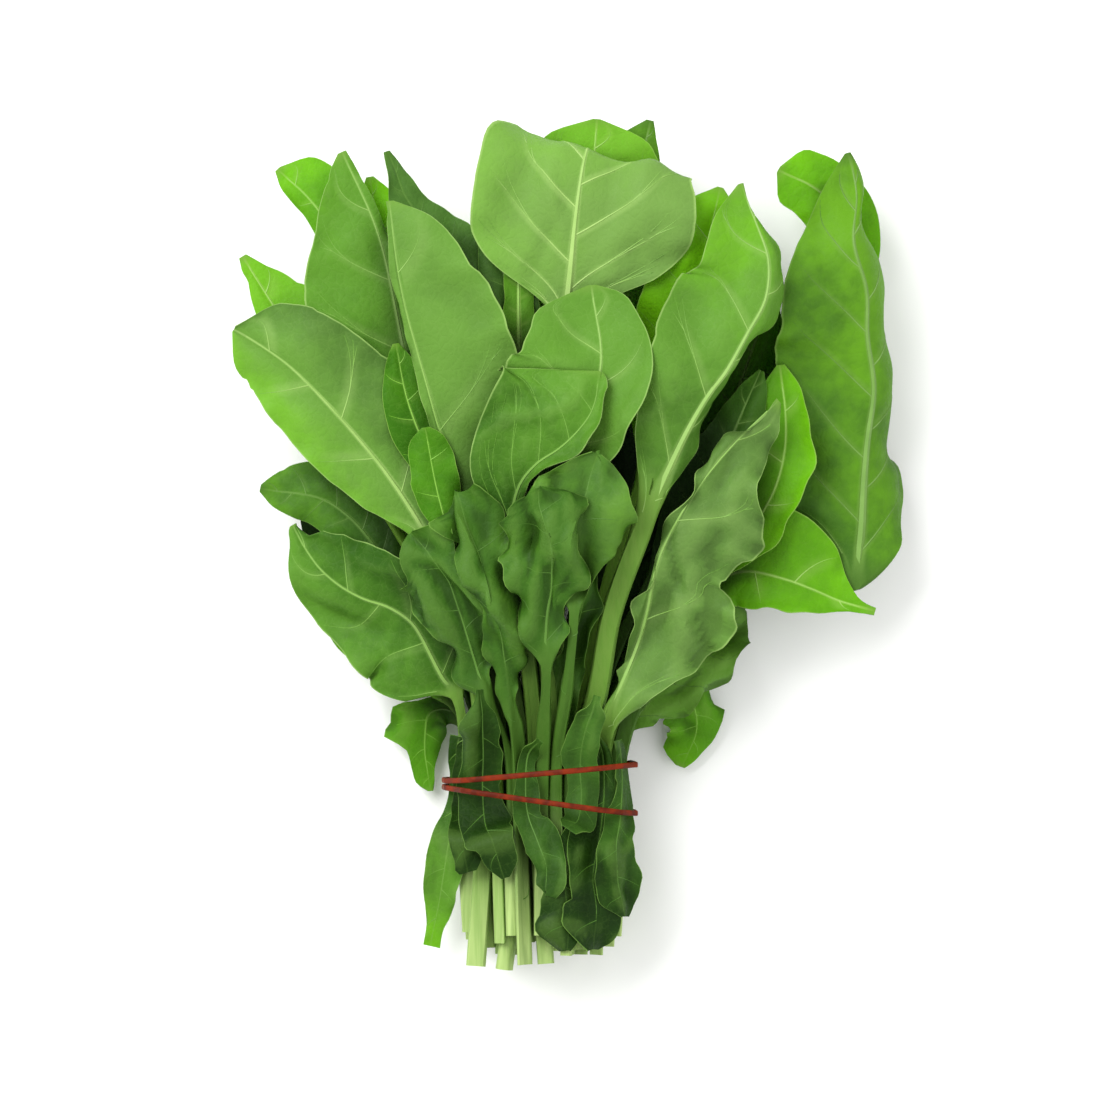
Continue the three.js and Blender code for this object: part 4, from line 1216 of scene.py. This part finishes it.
FORMS: dict[str, LeafForm] = {
    "right_low_hanging": replace(WILTED, tone=0.55, crease=1.8),
    "right_low_lobed": replace(WILTED, tone=1.5, dull=0.6, crease=2.6, vein=0.4, shaded=0.2,
                               nudges=(Nudge((35, -28), (0, 0, 8), 22),)),
    "right_strip": LeafForm(tone=0.9, veins=4),
    "far_right_back": LeafForm(tone=0.75, veins=5),
    "far_right": LeafForm(tone=0.8, tipward=0.3, shaded=0.6, rightward=0.1, ruffle=1.4, ragged=1.8,
                          veins=7, lean=0.3, vein=0.85, forks=False, billow=1.6,
                          nudges=(Nudge((110, 101), (-9, 0, 0), 16), Nudge((112, 72), (-6, 0, 0), 16))),
    "far_right_lip": LeafForm(tone=0.7, ruffle=1.4),
    "right_inner": LeafForm(tone=0.6, rightward=0.5, ruffle=1.3),
    "top_back_dark": LeafForm(tone=0.7),
    "top_back": LeafForm(tone=0.9, dull=0.6, veins=5, shaded=0.4),
    "right_bright": LeafForm(tone=1.5, veins=5, vein=0.5, billow=2.0, shaded=0.0,
                             nudges=(Nudge((35, 100), (0, 0, 11), 34),)),
    "right_dark": LeafForm(tone=0.5, ragged=1.6, crease=1.2, creases=6),
    "left_low_lobed": replace(WILTED, tone=0.4, crease=2.2, ragged=6.0),
    "left_low_back": LeafForm(tone=0.8),
    "left_point": LeafForm(tone=0.5, tipward=0.7, vein=0.45, shaded=0.7, ruffle=1.4, creases=6),
    "left_back_point": LeafForm(tone=1.2, dull=0.35, veins=4, shaded=0.3),
    "left_back_flap": LeafForm(tone=0.65, veins=4, vein=0.5, shaded=0.5),
    "left_lit": LeafForm(tone=2.4, vein=0.4, shaded=0.0),
    "left_folded": LeafForm(tone=0.42, tipward=0.5, veins=5, lean=0.28, vein=0.5, billow=2.0),
    "left_low_big": LeafForm(tone=0.18, rightward=-0.5, ruffle=1.8, ragged=2.0, veins=4, vein=0.4,
                             billow=2.2, crease=2.2, creases=7, forks=False,
                             nudges=(Nudge((-72, 0), (2, 9, 0), 13), Nudge((-88, 8), (-3, 3, 0), 9),
                                     Nudge((-52, -44), (-3, -6, 0), 14))),
    "left_big": LeafForm(tone=0.38, tipward=0.5, rightward=-0.9, dull=0.3, veins=5, lean=0.24,
                         ragged=0.7, billow=2.0),
    "left_twisted": LeafForm(tone=0.55, dull=0.5, ragged=1.2, vein=0.3),
    "middle_back": LeafForm(tone=0.25, dull=0.3, vein=0.4),
    "middle_point": LeafForm(tone=0.3, dull=0.3),
    "top_middle": LeafForm(tone=0.65, dull=0.75, shaded=0.3, relief=0.2, rightward=-0.5, tipward=0.3,
                           veins=4, vein=1.3, lean=0.3, crease=1.8, creases=7, billow=2.4,
                           nudges=(Nudge((-28, 141), (-3, 4, 0), 9), Nudge((-15, 143), (0, -6, 0), 12))),
    "left_inner_small": LeafForm(tone=0.1, veins=4, vein=0.35),
    "left_tall": LeafForm(tone=0.4, dull=0.35, veins=5, lean=0.3, vein=0.5, billow=1.8),
    "left_inner_round": LeafForm(tone=0.2, veins=4, vein=0.3),
    "right_big": LeafForm(tone=0.52, tipward=0.8, dull=0.12, veins=5, lean=0.3, vein=0.6, billow=2.2),
    "right_wavy": LeafForm(tone=0.25, tipward=-0.3, shaded=0.6, left=0.3, relief=0.6, dull=0.5,
                           veins=5, lean=0.3, ruffle=2.4, ragged=3.0, crease=2.8, creases=12,
                           billow=2.2, vein=0.55),
    "middle_round": LeafForm(tone=0.42, tipward=0.3, dull=0.12, veins=4, lean=0.3, billow=2.0, vein=0.6),
    "middle_front": LeafForm(tone=0.3, tipward=0.6, veins=5, lean=0.3, crease=2.0, creases=8,
                             billow=1.8, vein=0.15, relief=0.5),
    "left_wilted_back": replace(WILTED, tone=0.45, rightward=0.2),
    "left_wilted": replace(WILTED, tone=0.5),
    "middle_strap": replace(WILTED, tone=0.35, ragged=1.0, crease=1.2),
    "middle_crumpled": replace(WILTED, tone=0.6, dull=0.3, crease=4.4),
    "middle_wilted": replace(WILTED, tone=0.52),
    "tail_right_low": TAIL,
    "tail_right_back": TAIL,
    "tail_right": replace(TAIL, tone=0.25),
    "tail_left_winged": replace(TAIL, tone=0.35, tipward=1.2, creases=3, ragged=1.0),
    "tail_left": replace(TAIL, tone=0.2),
    "tail_left_front": replace(TAIL, tone=0.15),
    "tail_middle": replace(TAIL, tone=0.3),
    "tie_front": replace(TAIL, tone=0.45, dull=0.2),
}


@dataclass
class Leaves:
    """All the leaves of the bunch."""

    dress: LeafDress = field(default_factory=LeafDress)
    bed: Bed = field(default_factory=Bed)
    tie: Tie = field(default_factory=Tie)

    def build(self) -> list[bpy.types.Object]:
        """Makes each leaf over its solid, from the floor upwards."""
        nodes = [node for node, slot in SLOTS.items() if slot is not Slot.RUBBER]
        leaves = [Leaf(node, FORMS.get(node, HIDDEN), FIRST_SEED + number)
                  for number, node in enumerate(nodes)]
        for leaf in leaves:
            leaf.settle(self.bed, self.tie)
        made = [leaf.build(self.dress, self.bed) for leaf in leaves]
        for piece in made:
            LOG.info("%s: %d faces", piece.name, len(piece.data.polygons))
        return made


@dataclass
class RubberBand:
    """The band, wound twice round the stems on the same course as its solid, and crossing itself once.

    Attributes:
        width: of the strand, in mm.
        thickness: of the strand, in mm.
        steps: places along the band's course.
        centre: the middle of the tie in the part's frame, across and along, in mm.
        reach: how far along the stems their outline counts, in mm.
        half_width: of the tied stems, in mm.
        clearance: from the stems to the strand, in mm.
        left: how far the two turns part at the left, in mm.
        upper: where the first turn lies at the right, in mm.
        lower: where the second turn lies at the right, in mm.
        step_over: how far the first turn steps over the second, in mm.
    """

    width: float = 1.85
    thickness: float = 1.05
    steps: int = 420
    centre: tuple[float, float] = (-9.486, -79.942)
    reach: float = 12.0
    half_width: float = 30.5
    clearance: float = 0.38
    left: float = 1.15
    upper: float = 6.7
    lower: float = -9.5
    step_over: float = 1.75
    node: str = "rubber_band"

    def outline(self) -> np.ndarray:
        """Finds the corners of the tied stems' outline, seen from the cut ends.

        Returns:
            Points across and up, in mm.
        """
        found = []
        for node, slot in SLOTS.items():
            if slot is Slot.RUBBER:
                continue
            points, triangles = merged(node)
            points = points - np.array([*self.centre, 0])
            for i, j in ((0, 1), (1, 2), (2, 0)):
                a, b = points[triangles[:, i]], points[triangles[:, j]]
                low, high = np.minimum(a[:, 1], b[:, 1]), np.maximum(a[:, 1], b[:, 1])
                near = (low <= self.reach) & (high >= -self.reach)
                a, b = a[near], b[near]
                run = b[:, 1] - a[:, 1]
                for y in (-self.reach, self.reach):
                    share = np.clip((y - a[:, 1]) / np.where(run == 0, 1, run), 0, 1)[:, None]
                    found.append((a * (1 - share) + b * share)[:, (0, 2)])
        found = np.concatenate(found)
        return found[np.abs(found[:, 0]) < self.half_width + 1.5]

    def course(self) -> tuple[np.ndarray, np.ndarray]:
        """Lays the band's course round the outline.

        Returns:
            Points in mm, and the way out from the stems at each.
        """
        outline = self.outline()
        angle = np.arange(self.steps) / self.steps * 4 * np.pi
        first, turn = angle < 2 * np.pi, angle % (2 * np.pi)
        away = np.stack([-np.cos(turn), np.sin(turn)], axis=1)
        corner = outline[np.argmax(away @ outline.T, axis=1)]
        corner = corner + away * (self.clearance + self.thickness / 2)
        share = np.clip((corner[:, 0] + self.half_width) / (2 * self.half_width), 0, 1)
        start = np.where(first, self.left, -self.left)
        right = np.where(first, self.upper, self.lower)
        above = turn < np.pi
        y = np.where(above, start + (right - start) * share, -start + (right + start) * share ** 2)
        over = ease((0.335 - np.abs(share - 0.37)) / 0.15, 0, 1) * self.step_over * (first & ~above)
        corner = corner + away * over[:, None]
        points = np.stack([corner[:, 0] + self.centre[0], y + self.centre[1], corner[:, 1]], axis=1)
        return points, np.stack([away[:, 0], np.zeros(self.steps), away[:, 1]], axis=1)

    def build(self) -> bpy.types.Object:
        """Makes the finished band."""
        points, away = self.course()
        for _ in range(3):
            points = (np.roll(points, 1, axis=0) + 2 * points + np.roll(points, -1, axis=0)) / 4
        count = self.steps
        mesh = bpy.data.meshes.new("rubber_band_strand")
        mesh.from_pydata((points * MM).tolist(), [(i, (i + 1) % count) for i in range(count)], [])
        mesh.attributes.new("away", "FLOAT_VECTOR", "POINT").data.foreach_set("vector", away.ravel())
        piece = bpy.data.objects.new("rubber_band_strand", mesh)
        bpy.context.scene.collection.objects.link(piece)
        self.sweep(piece)
        piece.data.shade_smooth()
        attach(piece, BODY)
        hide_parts(self.node)
        LOG.info("%s: %d faces", piece.name, len(piece.data.polygons))
        return piece

    def sweep(self, piece: bpy.types.Object) -> None:
        """Sweeps the strand's rounded section along its course.

        Args:
            piece: the object whose mesh is the course.
        """
        tree = bpy.data.node_groups.new("band_sweep", "GeometryNodeTree")
        group_input(tree, "Geometry", "NodeSocketGeometry")
        inputs = {
            group_input(tree, "Width", "NodeSocketFloat"): self.width * MM,
            group_input(tree, "Thickness", "NodeSocketFloat"): self.thickness * MM,
            group_input(tree, "Material", "NodeSocketMaterial"): RubberFinish().build(),
        }
        tree.interface.new_socket("Geometry", in_out="OUTPUT", socket_type="NodeSocketGeometry")
        graph = Graph(tree)
        given = graph.add("NodeGroupInput").outputs
        line = graph.add("GeometryNodeMeshToCurve", {0: given["Geometry"]}).outputs[0]
        away = graph.add("GeometryNodeInputNamedAttribute", {"Name": "away"}, data_type="FLOAT_VECTOR")
        turned = graph.add("GeometryNodeSetCurveNormal", {"Curve": line}, mode="FREE")
        tree.links.new(away.outputs[0], turned.inputs["Normal"])
        ring = graph.add("GeometryNodeCurvePrimitiveCircle", {"Resolution": 16, "Radius": 1.0}).outputs[0]
        seat = graph.add("ShaderNodeSeparateXYZ", {0: graph.add("GeometryNodeInputPosition").outputs[0]})
        half_wide = graph.maths("MULTIPLY", given["Width"], 0.5)
        half_thick = graph.maths("MULTIPLY", given["Thickness"], 0.5)
        halves = (half_thick, half_wide)
        blunt = [self.blunted(graph, seat.outputs[i], size) for i, size in enumerate(halves)]
        shaped = graph.add("ShaderNodeCombineXYZ", {0: blunt[0], 1: blunt[1]}).outputs[0]
        section = graph.add("GeometryNodeSetPosition", {"Geometry": ring, "Position": shaped}).outputs[0]
        tube = graph.add("GeometryNodeCurveToMesh", {"Curve": turned.outputs[0], "Profile Curve": section})
        real = graph.add("GeometryNodeRealizeInstances", {0: tube.outputs[0]})
        painted = graph.add("GeometryNodeSetMaterial", {0: real.outputs[0], "Material": given["Material"]})
        graph.add("NodeGroupOutput", {0: painted.outputs[0]})
        applied(piece, tree, inputs)

    @staticmethod
    def blunted(graph: Graph, value: bpy.types.NodeSocket,
                size: bpy.types.NodeSocket) -> bpy.types.NodeSocket:
        """Squares a circle's coordinate a little and gives it a size."""
        flat = graph.maths("POWER", graph.maths("ABSOLUTE", value), 0.7)
        return graph.maths("MULTIPLY", graph.maths("MULTIPLY", flat, graph.maths("SIGN", value)), size)


@dataclass(frozen=True)
class Outlook:
    """The camera, straight above the bunch.

    Attributes:
        centre: the point under the middle of the picture, in mm.
        width: what the picture takes in, in mm.
        height: the camera's height above the floor, in mm.
        level: the height at which the picture's width is true, in mm.
    """

    centre: tuple[float, float] = (-6.15, -1.61)
    width: float = 366.67
    height: float = 2600.0
    level: float = 40.0

    def build(self) -> bpy.types.Object:
        """Makes the camera."""
        data = bpy.data.cameras.new("camera")
        data.sensor_width = 36.0
        data.lens = data.sensor_width * (self.height - self.level) / self.width
        data.clip_start, data.clip_end = 0.1, 20.0
        camera = bpy.data.objects.new("camera", data)
        camera.location = (self.centre[0] * MM, self.centre[1] * MM, self.height * MM)
        bpy.context.scene.collection.objects.link(camera)
        bpy.context.scene.camera = camera
        return camera


@dataclass
class Studio:
    """A pale floor and soft light.

    Attributes:
        floor_half: half the floor's side, in m.
        floor_height: where it lies, just below the bunch, in m.
        floor_colour: its white.
        floor_cloud: a slightly greyer white that clouds it.
        lights: for each light its place in m, its side in m and its power in W.
        sky_strength: strength of the even light from all round.
    """

    floor_half: float = 3.0
    floor_height: float = -1e-4
    floor_colour: int = 0xFAFAF8
    floor_cloud: int = 0xF6F7F5
    lights: dict[str, tuple[tuple[float, float, float], float, float]] = field(default_factory=lambda: {
        "key": ((-0.85, 0.8, 1.35), 1.2, 36.0),
        "fill": ((1.0, -0.5, 1.5), 1.6, 10.0),
    })
    sky_strength: float = 0.85

    def build(self) -> None:
        """Makes the floor, the lights and the sky."""
        self.floor()
        for name, (place, size, power) in self.lights.items():
            self.light(name, place, size, power)
        self.sky()
        bpy.context.scene.view_settings.view_transform = "Standard"

    def floor(self) -> None:
        """Makes the floor, just below the bunch."""
        side, height = self.floor_half, self.floor_height
        mesh = bpy.data.meshes.new("floor")
        corners = [(x * side, y * side, height) for x, y in ((-1, -1), (1, -1), (1, 1), (-1, 1))]
        mesh.from_pydata(corners, [], [(0, 1, 2, 3)])
        floor = bpy.data.objects.new("floor", mesh)
        bpy.context.scene.collection.objects.link(floor)
        material, graph = new_material("floor_paint")
        place = graph.add("ShaderNodeTexCoord").outputs["Object"]
        colour = graph.blend(graph.noise(place, 3.0), linear(self.floor_colour), linear(self.floor_cloud))
        skin = graph.add("ShaderNodeBsdfPrincipled", {"Base Color": colour, "Roughness": 0.9})
        graph.add("ShaderNodeOutputMaterial", {"Surface": skin.outputs[0]})
        mesh.materials.append(material)

    @staticmethod
    def light(name: str, place: tuple[float, float, float], size: float, power: float) -> None:
        """Hangs one soft square light that faces the bunch."""
        data = bpy.data.lights.new(name, "AREA")
        data.size, data.energy = size, power
        lamp = bpy.data.objects.new(name, data)
        lamp.location = place
        lamp.rotation_euler = (-Vector(place)).to_track_quat("-Z", "Y").to_euler()
        bpy.context.scene.collection.objects.link(lamp)

    def sky(self) -> None:
        """Gives an even white light from all round."""
        world = bpy.data.worlds.new("sky")
        world.use_nodes = True
        background = world.node_tree.nodes["Background"].inputs
        background[0].default_value = (1, 1, 1, 1)
        background[1].default_value = self.sky_strength
        bpy.context.scene.world = world


def main() -> None:
    """Builds the camera, the leaves, the band and the studio in turn."""
    logging.basicConfig(level=logging.INFO, format="%(message)s")
    Outlook().build()
    Leaves().build()
    RubberBand().build()
    Studio().build()


if __name__ == "__main__":
    main()
